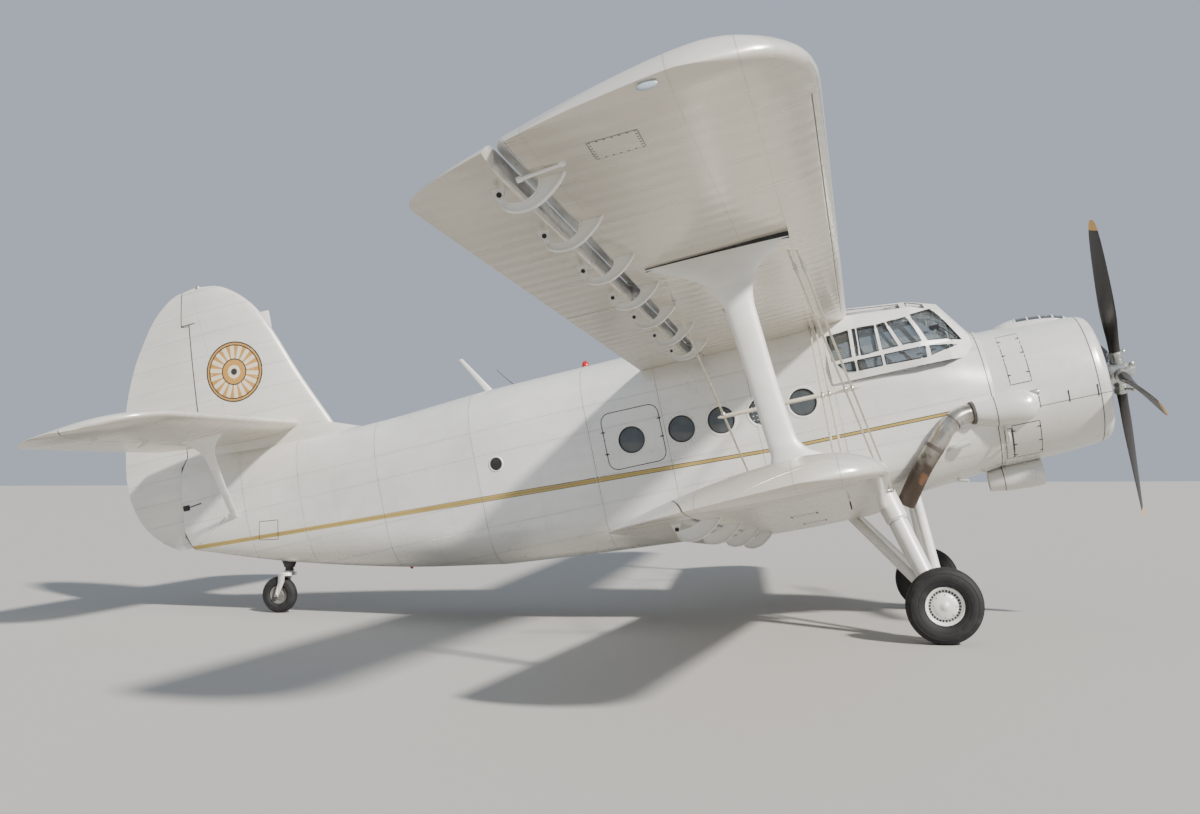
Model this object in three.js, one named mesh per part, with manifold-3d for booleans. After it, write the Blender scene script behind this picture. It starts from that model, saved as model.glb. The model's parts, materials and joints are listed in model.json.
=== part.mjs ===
// A light transport biplane on tail-wheel gear, as it parks, in millimetres.
// +X is forward, +Y is the left (port) wing, +Z is up. The airframe is built level,
// with its origin midway between the main wheels' axles, and is then tipped onto its tail wheel.
import * as THREE from "three";
import { mergeVertices } from "three/addons/utils/BufferGeometryUtils.js";
import Module from "manifold-3d";

const wasm = await Module();
wasm.setup();

// Driving dimensions
const SEAM = 0.3; // gap between pieces that touch
const SKIN = 50; // wall of the body with its frames
const RUNNING_GAP = 10; // round every hinged surface

const MAIN_WHEEL = { radius: 400, width: 262, halfTrack: 1654, rim: 205 };
// The angle at which all three wheels touch the ground
const GROUND_ANGLE = THREE.MathUtils.degToRad(11.54);

const UPPER = {
  chord: 2450, semiSpan: 9088, root: 840, noseX: -298, noseZ: 3299.5, dihedral: 2.86, incidence: 3.0,
  hingeAt: 1920, hingeDrop: 70, hingeRadius: 222, flapFrom: 950, split: 4500, slatFrom: 1300, slatTo: 8285,
};
const LOWER = {
  chord: 2000, semiSpan: 7118, root: 860, noseX: -358.5, noseZ: 1040.5, dihedral: 4.3, incidence: 1.0,
  hingeAt: 1568, hingeDrop: 60, hingeRadius: 182, flapFrom: 900, split: 6460,
};
const WING_THICKNESS = 0.14;
const WING_CAMBER = 0.04;
const HINGE_STATIONS = [1900, 2980, 4070, 5030, 6120, 7250, 8270];
const LOWER_HINGE_STATIONS = [1500, 3100, 4700, 6100];

// The wing tip of the upper wing: distance inboard of the tip, nose setback, tail edge behind the nose line
// and thickness of the section
const TIP = [
  { inboard: 1000, nose: 0, tail: 2450, thick: 0.14 },
  { inboard: 740, nose: 2, tail: 2440, thick: 0.14 },
  { inboard: 614, nose: 8, tail: 2385, thick: 0.14 },
  { inboard: 466, nose: 28, tail: 2215, thick: 0.142 },
  { inboard: 324, nose: 75, tail: 1970, thick: 0.148 },
  { inboard: 188, nose: 170, tail: 1640, thick: 0.158 },
  { inboard: 78, nose: 310, tail: 1300, thick: 0.17 },
  { inboard: 0, nose: 600, tail: 900, thick: 0.14 },
];
// The nose of a flap or an aileron of the upper wing, ahead of and above its hinge, from the lower surface up
const SURFACE_NOSE = [[78, 36], [98, 50], [116, 80], [128, 115], [130, 150], [118, 182], [98, 215]];
// A hinge arm in the same places: its outer edge from the eye to the wing, then its inner edge back
const HINGE_ARM = [
  [-22, 0], [-10, -50], [10, -95], [80, -130], [180, -130], [270, -95], [375, -20], [430, 60], [430, 110],
  [255, 110], [250, 30], [235, -20], [190, -60], [110, -80], [30, -58], [22, 0], [0, 22],
];

// Body sections: station, bottom, top, half width, and the reach and rise of the corner arcs
const NOSE_SECTIONS = [
  { x: 1090, low: 1265, high: 2870, half: 800, lowIn: 790, lowUp: 800, highIn: 790, highUp: 800 },
  { x: 620, low: 1210, high: 2890, half: 880, lowIn: 760, lowUp: 680, highIn: 820, highUp: 640 },
  { x: 0, low: 1160, high: 2890, half: 925, lowIn: 620, lowUp: 500, highIn: 700, highUp: 500 },
  { x: -620, low: 1140, high: 2890, half: 930, lowIn: 520, lowUp: 430, highIn: 600, highUp: 400 },
];
const CABIN_SECTIONS = [
  { x: -620.3, low: 1140, high: 3470, half: 930, lowIn: 520, lowUp: 430, highIn: 560, highUp: 520 },
  { x: -2000, low: 1120, high: 3490, half: 930, lowIn: 480, lowUp: 400, highIn: 540, highUp: 500 },
  { x: -3400, low: 1190, high: 3470, half: 922, lowIn: 480, lowUp: 420, highIn: 560, highUp: 560 },
  { x: -4450, low: 1265, high: 3460, half: 896, lowIn: 480, lowUp: 440, highIn: 560, highUp: 600 },
  { x: -4950, low: 1305, high: 3455, half: 852, lowIn: 480, lowUp: 450, highIn: 550, highUp: 660 },
];
const TAIL_SECTIONS = [
  { x: -4950.3, low: 1305, high: 3455, half: 852, lowIn: 480, lowUp: 450, highIn: 550, highUp: 660 },
  { x: -6300, low: 1520, high: 3405, half: 620, lowIn: 420, lowUp: 520, highIn: 450, highUp: 820 },
  { x: -7900, low: 1890, high: 3420, half: 340, lowIn: 270, lowUp: 560, highIn: 240, highUp: 900 },
  { x: -9330, low: 2330, high: 3560, half: 112, lowIn: 90, lowUp: 300, highIn: 70, highUp: 500 },
];
// Canopy sections: the crown's height, and five corners a side from the sill up: sill, belt, eave, brow, roof
const CANOPY_SECTIONS = [
  { x: 985, crown: 2888, corners: [[560, 2560], [560, 2700], [520, 2800], [440, 2850], [300, 2880]] },
  { x: 720, crown: 3290, corners: [[880, 2560], [900, 2760], [800, 3010], [660, 3140], [400, 3250]] },
  { x: 400, crown: 3380, corners: [[955, 2560], [985, 2760], [870, 3120], [730, 3250], [440, 3350]] },
  { x: -250, crown: 3450, corners: [[965, 2560], [995, 2760], [885, 3140], [760, 3300], [450, 3425]] },
  { x: -619.7, crown: 3470, corners: [[945, 2560], [960, 2760], [895, 3140], [800, 3310], [450, 3450]] },
];
const CANOPY_WALL = 28;

const FLOOR = { top: 1600, thick: 40, front: -640, rear: -4700 };
const FLIGHT_FLOOR = { top: 1950, thick: 40, front: 940, rear: -560 };
const PORTHOLE = { radius: 160, z: 2440, stations: [-990, -1460, -1940, -2410] };
const HATCH = { front: -2640, rear: -3330, low: 2130, high: 2800, corner: 110, window: -3010 };
const CARGO_DOOR = {
  front: -2930, rear: -4390, low: 1610, high: 3090, corner: 90, thick: 46, window: -4130, windowRadius: 110,
};
const CREW_DOOR = {
  front: -3060, rear: -3870, low: 1640, high: 2960, corner: 80, thick: 40, window: -3465, windowRadius: 130,
};

const ENGINE_AXIS_Z = 2056;
const COWL_OUTER = [[1090.6, 800], [1350, 796], [1650, 786], [1900, 770], [2205, 740]];
const NOSE_RING = [[2205.3, 739], [2255, 724], [2298, 694], [2324, 652], [2336, 606], [2333, 574]];
const NOSE_LIP = [[2316, 560], [2276, 562], [2205.3, 706]];
const COWL_WALL = 24;
const PROP = { x: 2560, radius: 1800, turn: 17.5, hubRadius: 150, bladeRoot: 250 };

const RUDDER_AXIS = { low: [-9315, 2370], high: [-8910, 5700] };
const TAILPLANE = { z: 3650, hinge: -8600, radius: 92, inner: 300, hinges: [900, 2000, 3000] };
// Fin and rudder outline by height: nose, tail edge and greatest thickness
const FIN_SECTIONS = [
  { z: 2335, nose: -8600, tail: -9480, thick: 150 },
  { z: 2480, nose: -8300, tail: -9700, thick: 190 },
  { z: 2760, nose: -8000, tail: -9940, thick: 215 },
  { z: 3100, nose: -7600, tail: -10060, thick: 230 },
  { z: 3430, nose: -6640, tail: -10075, thick: 240 },
  { z: 3560, nose: -7000, tail: -10060, thick: 240 },
  { z: 4300, nose: -7345, tail: -9925, thick: 230 },
  { z: 4870, nose: -7575, tail: -9690, thick: 210 },
  { z: 5230, nose: -7745, tail: -9460, thick: 180 },
  { z: 5470, nose: -7930, tail: -9270, thick: 150 },
  { z: 5640, nose: -8140, tail: -9060, thick: 110 },
  { z: 5750, nose: -8430, tail: -8800, thick: 60 },
];
// Tailplane outline by distance from the centre: nose and tail edge
const TAILPLANE_SECTIONS = [
  { y: 60, nose: -7440, tail: -9370 },
  { y: 3050, nose: -7500, tail: -9330 },
  { y: 3330, nose: -7600, tail: -9190 },
  { y: 3500, nose: -7760, tail: -9000 },
  { y: 3580, nose: -7950, tail: -8790 },
  { y: 3600, nose: -8150, tail: -8600 },
];

// Bracing: one faired strut a side, and wires that cross at a spreader stick
const STRUT_Y = 5550;
const STRUT_SECTIONS = [
  { z: 1560, x: -980, chord: 500, thick: 150 },
  { z: 1730, x: -980, chord: 440, thick: 130 },
  { z: 1800, x: -1030, chord: 300, thick: 105 },
  { z: 1920, x: -1075, chord: 228, thick: 92 },
  { z: 2950, x: -1165, chord: 232, thick: 92 },
  { z: 3120, x: -1185, chord: 300, thick: 96 },
  { z: 3260, x: -1215, chord: 500, thick: 98 },
  { z: 3370, x: -1245, chord: 880, thick: 92 },
  { z: 3440, x: -1260, chord: 1180, thick: 84 },
  { z: 3600, x: -1260, chord: 1240, thick: 84 },
];
const SPREADER = { y: 3380, z: 2320, front: -370, rear: -1730, radius: 20 };
const WIRE_RADIUS = 7;
const WIRE_PAIR = 32;
const LEG_FOOT_Y = 1405;

const DOOR_HINGE = { y: 910, z: 3096, radius: 12, length: 60, stations: [-3150, -3660, -4170] };
const CREW_HINGE = { x: -3056, y: 862, radius: 12, length: 60, stations: [1850, 2700] };
// Side panes of the canopy, each by its corners in the side view: upper row, windscreen quarter, lower row
const SIDE_PANES = [
  [[-580, 2812], [-345, 2812], [-325, 3128], [-580, 3118]],
  [[-305, 2812], [-268, 2812], [-250, 3130], [-285, 3130]],
  [[-243, 2812], [-40, 2815], [-35, 3122], [-225, 3132]],
  [[-5, 2818], [178, 2822], [82, 3126], [-5, 3118]],
  [[222, 2822], [440, 2826], [325, 3140], [112, 3128]],
  [[500, 2815], [885, 2768], [620, 3185], [378, 3150]],
  [[-520, 2766], [-335, 2764], [-335, 2652], [-430, 2672]],
  [[-298, 2652], [-35, 2650], [-35, 2762], [-298, 2764]],
  [[5, 2650], [458, 2636], [458, 2758], [5, 2762]],
  [[505, 2642], [690, 2684], [820, 2712], [505, 2752]],
];
// The windscreen, seen from ahead, and the roof panes of one side, seen from above
const WINDSCREEN = [[30, 2935], [325, 2928], [405, 3200], [30, 3225]];
const ROOF_PANES = [
  { rear: -490, front: 300, inner: 495, outer: 715 }, { rear: 375, front: 560, inner: 475, outer: 660 },
  { rear: 430, front: 650, inner: 40, outer: 365 },
];
const SCOOP_SECTIONS = [
  { x: 1290, half: 60, top: 2846 }, { x: 1400, half: 140, top: 2890 }, { x: 1560, half: 165, top: 2914 },
  { x: 1950, half: 165, top: 2878 }, { x: 2124, half: 150, top: 2822 },
];
const SHROUD_SECTIONS = [
  { x: 800, z: 1920, radius: 138 }, { x: 1000, z: 1895, radius: 165 }, { x: 1250, z: 1890, radius: 186 },
  { x: 1410, z: 1885, radius: 162 }, { x: 1510, z: 1895, radius: 90 },
];
const EXHAUST = { radius: 104, wall: 10, path: [
  [800, -880, 1922], [690, -915, 1922], [580, -955, 1886], [460, -990, 1796], [370, -1000, 1696],
  [125, -985, 1430], [-125, -885, 1085],
] };
const OIL_COOLER = {
  z: 1122, outline: [[880, 118], [1100, 150], [1400, 164], [1490, 158]], wall: 28, deep: 70,
};
const BLADE_SECTIONS = [
  { radius: 250, chord: 124, thick: 116, pitch: 52 }, { radius: 400, chord: 150, thick: 84, pitch: 46 },
  { radius: 700, chord: 232, thick: 46, pitch: 36 }, { radius: 1100, chord: 258, thick: 28, pitch: 27 },
  { radius: 1500, chord: 232, thick: 18, pitch: 21 }, { radius: 1700, chord: 178, thick: 13, pitch: 18 },
  { radius: 1780, chord: 110, thick: 9, pitch: 17 }, { radius: 1800, chord: 50, thick: 6, pitch: 17 },
];
const SLAT_TRACKS = [1700, 3500, 5300, 7100];
const SLAT_TRACK = { reach: 220, half: 8, low: 4, high: 36 };
const JACK_PAD_Y = 5380;
// Bracing wires of the right side: ends as station, distance out and height
const WIRES = [
  { from: [-680, 5550, 3330], to: [-250, 880, 1160], pair: true },
  { from: [-705, 860, 3300], to: [-690, 5300, 1560], pair: true },
  { from: [-1700, 5450, 3330], to: [-1640, 880, 1140], pair: false },
];
const AXLE_RADIUS = 40;
const GEAR_RODS = [
  { from: [-335, 1010, 1240], to: [-40, 1390, 30], radius: 102, collar: { share: 0.24, radius: 124 } },
  { from: [-900, 640, 1300], to: [-40, 1390, 10], radius: 54, collar: null },
  { from: [0, 590, 1300], to: [20, 1390, 20], radius: 56, collar: null },
];
const RUDDER_NOSE = 96;
const BALANCE = { low: 3760, high: 5270, lowRadius: 300, highRadius: 212 };
const RUDDER_HINGES = [{ z: 2870 }, { z: 5420 }];
const TAIL_STRUT_SECTIONS = [
  { z: 2540, x: -8480, shift: -180, chord: 92, thick: 52 },
  { z: 2640, x: -8462, shift: -290, chord: 96, thick: 52 },
  { z: 3200, x: -8270, shift: -930, chord: 120, thick: 56 },
  { z: 3400, x: -8200, shift: -1160, chord: 190, thick: 60 },
  { z: 3490, x: -8170, shift: -1265, chord: 360, thick: 66 },
  { z: 3550, x: -8155, shift: -1330, chord: 560, thick: 72 },
  { z: 3640, x: -8150, shift: -1400, chord: 620, thick: 74 },
];
const TAIL_HEAD = [-7978, 0, 1779]; // the foot of the leg, on the fork's swivel axis
const TAIL_AXLE = [-132, -312]; // behind and below the head, with the aircraft parked
const FORK = { bridgeLow: -60, bridgeHigh: -20, armY: 97 };
const SIDES = { right: -1, left: 1 };

// Finishes
const paint = (color, roughness = 0.4) =>
  new THREE.MeshStandardMaterial({ color, roughness, metalness: 0.1 });
const metal = (color, roughness = 0.35) =>
  new THREE.MeshStandardMaterial({ color, roughness, metalness: 0.9 });
const FINISH = {
  white: paint("#e6e3da"),
  cabin: paint("#8f958f", 0.7),
  black: paint("#1c1c1c", 0.5),
  steel: metal("#a9a49c"),
  burnt: metal("#8a7866", 0.45),
  bare: metal("#c9c8c4", 0.3),
  rubber: new THREE.MeshStandardMaterial({ color: "#17181a", roughness: 0.85, metalness: 0 }),
  glass: new THREE.MeshStandardMaterial({
    color: "#9db4bd", roughness: 0.05, metalness: 0, transparent: true, opacity: 0.35,
  }),
  seat: new THREE.MeshStandardMaterial({ color: "#3a3f42", roughness: 0.9, metalness: 0 }),
};

// Solids
function solid(geometry) {
  const bare = geometry.clone();
  for (const extra of ["normal", "uv"]) bare.deleteAttribute(extra);
  const merged = mergeVertices(bare, 1e-3);
  return new wasm.Manifold(new wasm.Mesh({
    numProp: 3,
    vertProperties: new Float32Array(merged.attributes.position.array),
    triVerts: new Uint32Array(merged.index.array),
  }));
}

function geometryOf(body) {
  const { vertProperties, triVerts, numProp } = body.getMesh();
  const points = new Float32Array((vertProperties.length / numProp) * 3);
  for (let i = 0; i < points.length / 3; i += 1) {
    for (let k = 0; k < 3; k += 1) points[3 * i + k] = vertProperties[numProp * i + k];
  }
  const geometry = new THREE.BufferGeometry();
  geometry.setAttribute("position", new THREE.BufferAttribute(points, 3));
  geometry.setIndex(new THREE.BufferAttribute(new Uint32Array(triVerts), 1));
  return geometry;
}

const join = (first, ...rest) => rest.reduce((sum, next) => sum.add(next), first);
const cut = (first, ...rest) => rest.reduce((left, next) => left.subtract(next), first);
const moved = (body, x, y, z) => solid(geometryOf(body).translate(x, y, z));

function placed(body, matrix) {
  return solid(geometryOf(body).applyMatrix4(matrix));
}

function flipped(geometry) {
  const index = Array.from(geometry.index.array);
  for (let i = 0; i < index.length; i += 3) [index[i], index[i + 1]] = [index[i + 1], index[i]];
  geometry.setIndex(index);
  return geometry;
}

// A body built for the right side (-Y), mirrored for the left one
function handed(body, side) {
  if (side < 0) return body;
  return solid(flipped(geometryOf(body).scale(1, -1, 1)));
}

// A clearance body and its mirror image, because a mirrored piece meets its facets the other way round
const bothSides = (body) => join(body, handed(body, 1));

function signedVolume(points, index) {
  let sum = 0;
  const corner = [new THREE.Vector3(), new THREE.Vector3(), new THREE.Vector3()];
  for (let i = 0; i < index.length; i += 3) {
    corner.forEach((v, k) => v.fromArray(points, 3 * index[i + k]));
    sum += corner[0].dot(corner[1].cross(corner[2]));
  }
  return sum;
}

// A closed body through rings of the same number of points, with flat ends
function loft(rings) {
  const count = rings[0].length;
  const points = rings.flat(2);
  const index = [];
  for (let r = 0; r + 1 < rings.length; r += 1) {
    for (let i = 0; i < count; i += 1) {
      const j = (i + 1) % count;
      const [a, b, c, d] = [r * count + i, r * count + j, (r + 1) * count + i, (r + 1) * count + j];
      index.push(a, b, d, a, d, c);
    }
  }
  for (const [ring, base, turn] of [[rings[0], 0, 1], [rings.at(-1), (rings.length - 1) * count, -1]]) {
    for (const face of capFaces(ring)) {
      const [a, b, c] = face.map((k) => base + k);
      index.push(...(turn > 0 ? [a, c, b] : [a, b, c]));
    }
  }
  if (signedVolume(points, index) < 0) {
    for (let i = 0; i < index.length; i += 3) [index[i], index[i + 1]] = [index[i + 1], index[i]];
  }
  const geometry = new THREE.BufferGeometry();
  geometry.setAttribute("position", new THREE.Float32BufferAttribute(points, 3));
  geometry.setIndex(index);
  return solid(geometry);
}

// Triangles of a flat ring, wound the way the ring runs
function capFaces(ring) {
  const normal = new THREE.Vector3();
  ring.forEach(([x, y, z], i) => {
    const [p, q, r] = ring[(i + 1) % ring.length];
    normal.add(new THREE.Vector3((y - q) * (z + r), (z - r) * (x + p), (x - p) * (y + q)));
  });
  const size = normal.toArray().map(Math.abs);
  const drop = size.indexOf(Math.max(...size));
  const [u, v] = [(drop + 1) % 3, (drop + 2) % 3];
  const flat = ring.map((point) => new THREE.Vector2(point[u], point[v]));
  const faces = THREE.ShapeUtils.triangulateShape(flat, []);
  const area = THREE.ShapeUtils.area(flat);
  return faces.map((face) => {
    const own = THREE.ShapeUtils.area(face.map((k) => flat[k]));
    return own * area < 0 ? [face[0], face[2], face[1]] : face;
  });
}

function box(x0, x1, y0, y1, z0, z1) {
  const geometry = new THREE.BoxGeometry(x1 - x0, y1 - y0, z1 - z0);
  return solid(geometry.translate((x0 + x1) / 2, (y0 + y1) / 2, (z0 + z1) / 2));
}

// A round or tapered rod between two points
function rod(from, to, radius, sides = 12, endRadius = radius) {
  const [a, b] = [new THREE.Vector3(...from), new THREE.Vector3(...to)];
  const geometry = new THREE.CylinderGeometry(endRadius, radius, a.distanceTo(b), sides);
  const turn = new THREE.Quaternion().setFromUnitVectors(
    new THREE.Vector3(0, 1, 0), b.clone().sub(a).normalize());
  geometry.applyQuaternion(turn);
  geometry.translate(...a.add(b).multiplyScalar(0.5).toArray());
  return solid(geometry);
}

// A body turned about the X axis through (y, z), from stations and radii
function turnedX(profile, y, z, sides = 32) {
  const points = profile.map(([x, radius]) => new THREE.Vector2(radius, x));
  const geometry = new THREE.LatheGeometry(points, sides);
  geometry.rotateZ(-Math.PI / 2).translate(0, y, z);
  return orient(geometry);
}

// A body turned about the Y axis, from offsets along it and radii
function turnedY(profile, sides = 32) {
  const points = profile.map(([y, radius]) => new THREE.Vector2(radius, y));
  return orient(new THREE.LatheGeometry(points, sides));
}

function orient(geometry) {
  for (const extra of ["normal", "uv"]) geometry.deleteAttribute(extra);
  const merged = mergeVertices(geometry, 1e-3);
  const index = Array.from(merged.index.array);
  const kept = [];
  for (let i = 0; i < index.length; i += 3) {
    const [a, b, c] = index.slice(i, i + 3);
    if (a !== b && b !== c && c !== a) kept.push(a, b, c);
  }
  merged.setIndex(kept);
  if (signedVolume(Array.from(merged.attributes.position.array), kept) < 0) flipped(merged);
  return solid(merged);
}

// A tube along a curve through points
function tube(points, radius, sides = 10, steps = 9) {
  const path = new THREE.CatmullRomCurve3(points.map((p) => new THREE.Vector3(...p)), false, "centripetal");
  const section = new THREE.Shape();
  for (let i = 0; i < sides; i += 1) {
    const angle = (2 * Math.PI * i) / sides;
    section[i ? "lineTo" : "moveTo"](radius * Math.cos(angle), radius * Math.sin(angle));
  }
  return orient(new THREE.ExtrudeGeometry(section, { steps, extrudePath: path, bevelEnabled: false }));
}

// A rounded window or door outline in the side view, as a body that runs along Y
function sidePanel({ front, rear, low, high, corner }, yFrom, yTo, grow = 0) {
  const [x0, x1, z0, z1] = [rear - grow, front + grow, low - grow, high + grow];
  const r = corner + grow;
  const ring = [];
  const turns = [[x1 - r, z1 - r, 0], [x0 + r, z1 - r, 90], [x0 + r, z0 + r, 180], [x1 - r, z0 + r, 270]];
  for (const [x, z, start] of turns) {
    for (let k = 0; k <= 3; k += 1) {
      const angle = THREE.MathUtils.degToRad(start + 30 * k);
      ring.push([x + r * Math.cos(angle), z + r * Math.sin(angle)]);
    }
  }
  return loft([yFrom, yTo].map((y) => ring.map(([x, z]) => [x, y, z])));
}

// Body shell sections
function bodyRing({ x, low, high, half, lowIn, lowUp, highIn, highUp }, grow) {
  const quarter = [];
  const arc = (cy, cz, ry, rz, start) => {
    for (let k = 0; k <= 5; k += 1) {
      const angle = THREE.MathUtils.degToRad(start + 18 * k);
      quarter.push([cy + ry * Math.cos(angle), cz + rz * Math.sin(angle)]);
    }
  };
  arc(half - lowIn, low + lowUp, lowIn + grow, lowUp + grow, -90);
  arc(half - highIn, high - highUp, highIn + grow, highUp + grow, 0);
  const right = quarter.map(([y, z]) => [x, -y, z]);
  const left = quarter.map(([y, z]) => [x, y, z]).reverse();
  return [...right, ...left];
}

// A body loft, grown outwards, with its front and rear ends moved out past the sections or drawn in
function bodyLoft(sections, grow = 0, front = 0, rear = 0) {
  const rings = sections.map((section) => bodyRing(section, grow));
  const shifted = (ring, by) => ring.map(([x, y, z]) => [x + by, y, z]);
  const [first, last] = [shifted(rings[0], front), shifted(rings.at(-1), rear)];
  return loft([
    first, ...rings.slice(front > 0 ? 0 : 1, rear < 0 ? rings.length : rings.length - 1), last,
  ]);
}

function canopyRing({ x, crown, corners }, grow) {
  const half = corners.map(([y, z], i) => [y + grow, i > 2 ? z + grow : z]);
  return [
    ...half.map(([y, z]) => [x, -y, z]),
    [x, 0, crown + grow],
    ...half.map(([y, z]) => [x, y, z]).reverse(),
  ];
}

// Wing section with its nose at the origin and its tail edge behind it
const SECTION_STEPS = [1, 0.88, 0.74, 0.58, 0.42, 0.27, 0.14, 0.055, 0.01];

function sectionHeights(t, thickness, camber) {
  const rise = 5 * thickness
    * (0.2969 * Math.sqrt(t) - 0.126 * t - 0.3516 * t ** 2 + 0.2843 * t ** 3 - 0.1 * t ** 4);
  const crest = 0.3;
  const mean = t < crest
    ? (camber / crest ** 2) * (2 * crest * t - t ** 2)
    : (camber / (1 - crest) ** 2) * (1 - 2 * crest + 2 * crest * t - t ** 2);
  return { rise, mean };
}

function aerofoil(noseX, chord, thickness, camber) {
  const [over, under] = [[], []];
  for (const t of SECTION_STEPS) {
    const { rise, mean } = sectionHeights(t, thickness, camber);
    over.push([noseX - t * chord, (mean + rise) * chord]);
    under.unshift([noseX - t * chord, (mean - rise) * chord]);
  }
  return [...over, [noseX, 0], ...under];
}

// The whole wing of one side (right), in its own frame with the nose line along Y
function wingSolid({ chord, semiSpan, root }) {
  const scale = chord / UPPER.chord;
  const stations = [{ y: root, nose: 0, tail: chord, thick: WING_THICKNESS }];
  for (const { inboard, nose, tail, thick } of TIP) {
    stations.push({ y: semiSpan - inboard * scale, nose: nose * scale, tail: tail * scale, thick });
  }
  return loft(stations.map(({ y, nose, tail, thick }) =>
    aerofoil(-nose, tail - nose, thick, WING_CAMBER).map(([x, z]) => [x, -y, z])));
}

function wingMatrix({ noseX, noseZ, dihedral, incidence }, side) {
  const [roll, pitch] = [side * dihedral, -incidence].map(THREE.MathUtils.degToRad);
  const turn = new THREE.Euler(roll, pitch, 0);
  return new THREE.Matrix4().makeRotationFromEuler(turn).setPosition(noseX, 0, noseZ);
}

// What lies behind a hinge line and within a radius of it, between two stations of the right wing
function hingedZone({ hingeAt, hingeDrop, hingeRadius, chord }, inner, outer, grow) {
  const [y0, y1] = [-outer - grow, -inner + grow];
  const aft = box(-chord - 200, -hingeAt, y0, y1, -600, 600);
  const nose = rod([-hingeAt, y0, -hingeDrop], [-hingeAt, y1, -hingeDrop], hingeRadius + grow, 30);
  return join(aft, nose);
}

// A flat shape in the plane of a hinge's section, drawn for the upper wing, as a body along the span
function atHinge({ chord, hingeAt, hingeDrop }, shape, y0, y1) {
  const k = chord / UPPER.chord;
  return loft([y0, y1].map((y) => shape.map(([x, z]) => [-hingeAt + x * k, y, -hingeDrop + z * k])));
}

// The slot under the wing, ahead of the nose of a flap or an aileron
const underSlot = (wing, inner, outer) =>
  atHinge(wing, [...SURFACE_NOSE, [400, 215], [400, -300], [78, -300]], -outer - 50, -inner + 50);

// The leading-edge slat: what lies ahead of the fixed nose, an ellipse in section
const SLAT = { reach: 385, nose: [-420, 20], halfLength: 385, halfHeight: 212, travel: 70 };

function slatZone(inner, outer, grow) {
  const [y0, y1] = [-outer - grow, -inner + grow];
  const fixed = new THREE.CylinderGeometry(1, 1, y1 - y0 + 20, 36);
  fixed.scale(SLAT.halfLength - grow, 1, SLAT.halfHeight - grow);
  fixed.translate(SLAT.nose[0], (y0 + y1) / 2, SLAT.nose[1]);
  return cut(box(-SLAT.reach - grow, 200, y0, y1, -400, 400), solid(fixed));
}

// A streamlined rod or fairing as a loft of ellipses along Z, its length along X
function faired(sections, y, sides = 16) {
  return loft(sections.map(({ z, x, chord, thick, shift = 0 }) => {
    const ring = [];
    for (let i = 0; i < sides; i += 1) {
      const angle = (2 * Math.PI * i) / sides;
      ring.push([x + (chord / 2) * Math.cos(angle), y + shift + (thick / 2) * Math.sin(angle), z]);
    }
    return ring;
  }));
}

// The scene graph
const aircraft = new THREE.Group();
const airframe = new THREE.Group();
airframe.rotation.y = -GROUND_ANGLE;
airframe.position.z = MAIN_WHEEL.radius;
aircraft.add(airframe);

function add(parent, name, body, material, at = [0, 0, 0], axis = null) {
  const geometry = geometryOf(body).translate(-at[0], -at[1], -at[2]).toNonIndexed();
  geometry.computeVertexNormals();
  const mesh = new THREE.Mesh(geometry, material.clone());
  mesh.name = name;
  mesh.position.set(...at);
  if (axis) mesh.userData.axis = axis;
  parent.add(mesh);
  return mesh;
}

// Body shells
const centreSection = (wing, half) => {
  const z = wing.noseZ + wing.root * Math.tan(THREE.MathUtils.degToRad(wing.dihedral));
  const ring = aerofoil(0, wing.chord, WING_THICKNESS, WING_CAMBER);
  const body = loft([-half, half].map((y) => ring.map(([x, h]) => [x, y, h])));
  const pose = new THREE.Matrix4().makeRotationY(-THREE.MathUtils.degToRad(wing.incidence));
  return placed(body, pose.setPosition(wing.noseX, 0, z));
};
const bellyCentre = centreSection(LOWER, LOWER.root - SEAM);
const roofCentre = centreSection(UPPER, UPPER.root - SEAM);
const noseOuter = bodyLoft(NOSE_SECTIONS);
const cabinOuter = bodyLoft(CABIN_SECTIONS);
const tailOuter = bodyLoft(TAIL_SECTIONS);
const fuselageClear = bothSides(join(
  ...[NOSE_SECTIONS, CABIN_SECTIONS, TAIL_SECTIONS].map((sections) => bodyLoft(sections, SEAM, 5, -5))));
const noseInner = bodyLoft(NOSE_SECTIONS, -SKIN, -SKIN, -10);
const cabinInner = bodyLoft(CABIN_SECTIONS, -SKIN, 10, 150);
const canopyLoft = (grow, front, rear) => loft(CANOPY_SECTIONS.map((section, i) => {
  const shift = i === 0 ? front : i === CANOPY_SECTIONS.length - 1 ? rear : 0;
  return canopyRing(section, grow).map(([x, y, z]) => [x + shift, y, z]);
}));
const canopyOuter = canopyLoft(0, 0, 0);
const canopyInner = canopyLoft(-CANOPY_WALL, -60, -10);

const porthole = (x, y0, y1, radius = PORTHOLE.radius) =>
  rod([x, y0, PORTHOLE.z], [x, y1, PORTHOLE.z], radius, 16);
const portholes = PORTHOLE.stations.map((x) => porthole(x, -1200, 1200));
const canopyClear = bothSides(canopyLoft(SEAM, SEAM, -SEAM));
const noseClear = bodyLoft(NOSE_SECTIONS, SEAM, 5, -SEAM / 2);
const skinPanel = (outline, y0, y1, thick) =>
  cut(cabinOuter.intersect(sidePanel(outline, y0, y1)), bodyLoft(CABIN_SECTIONS, -thick, 100, -100));

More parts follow.
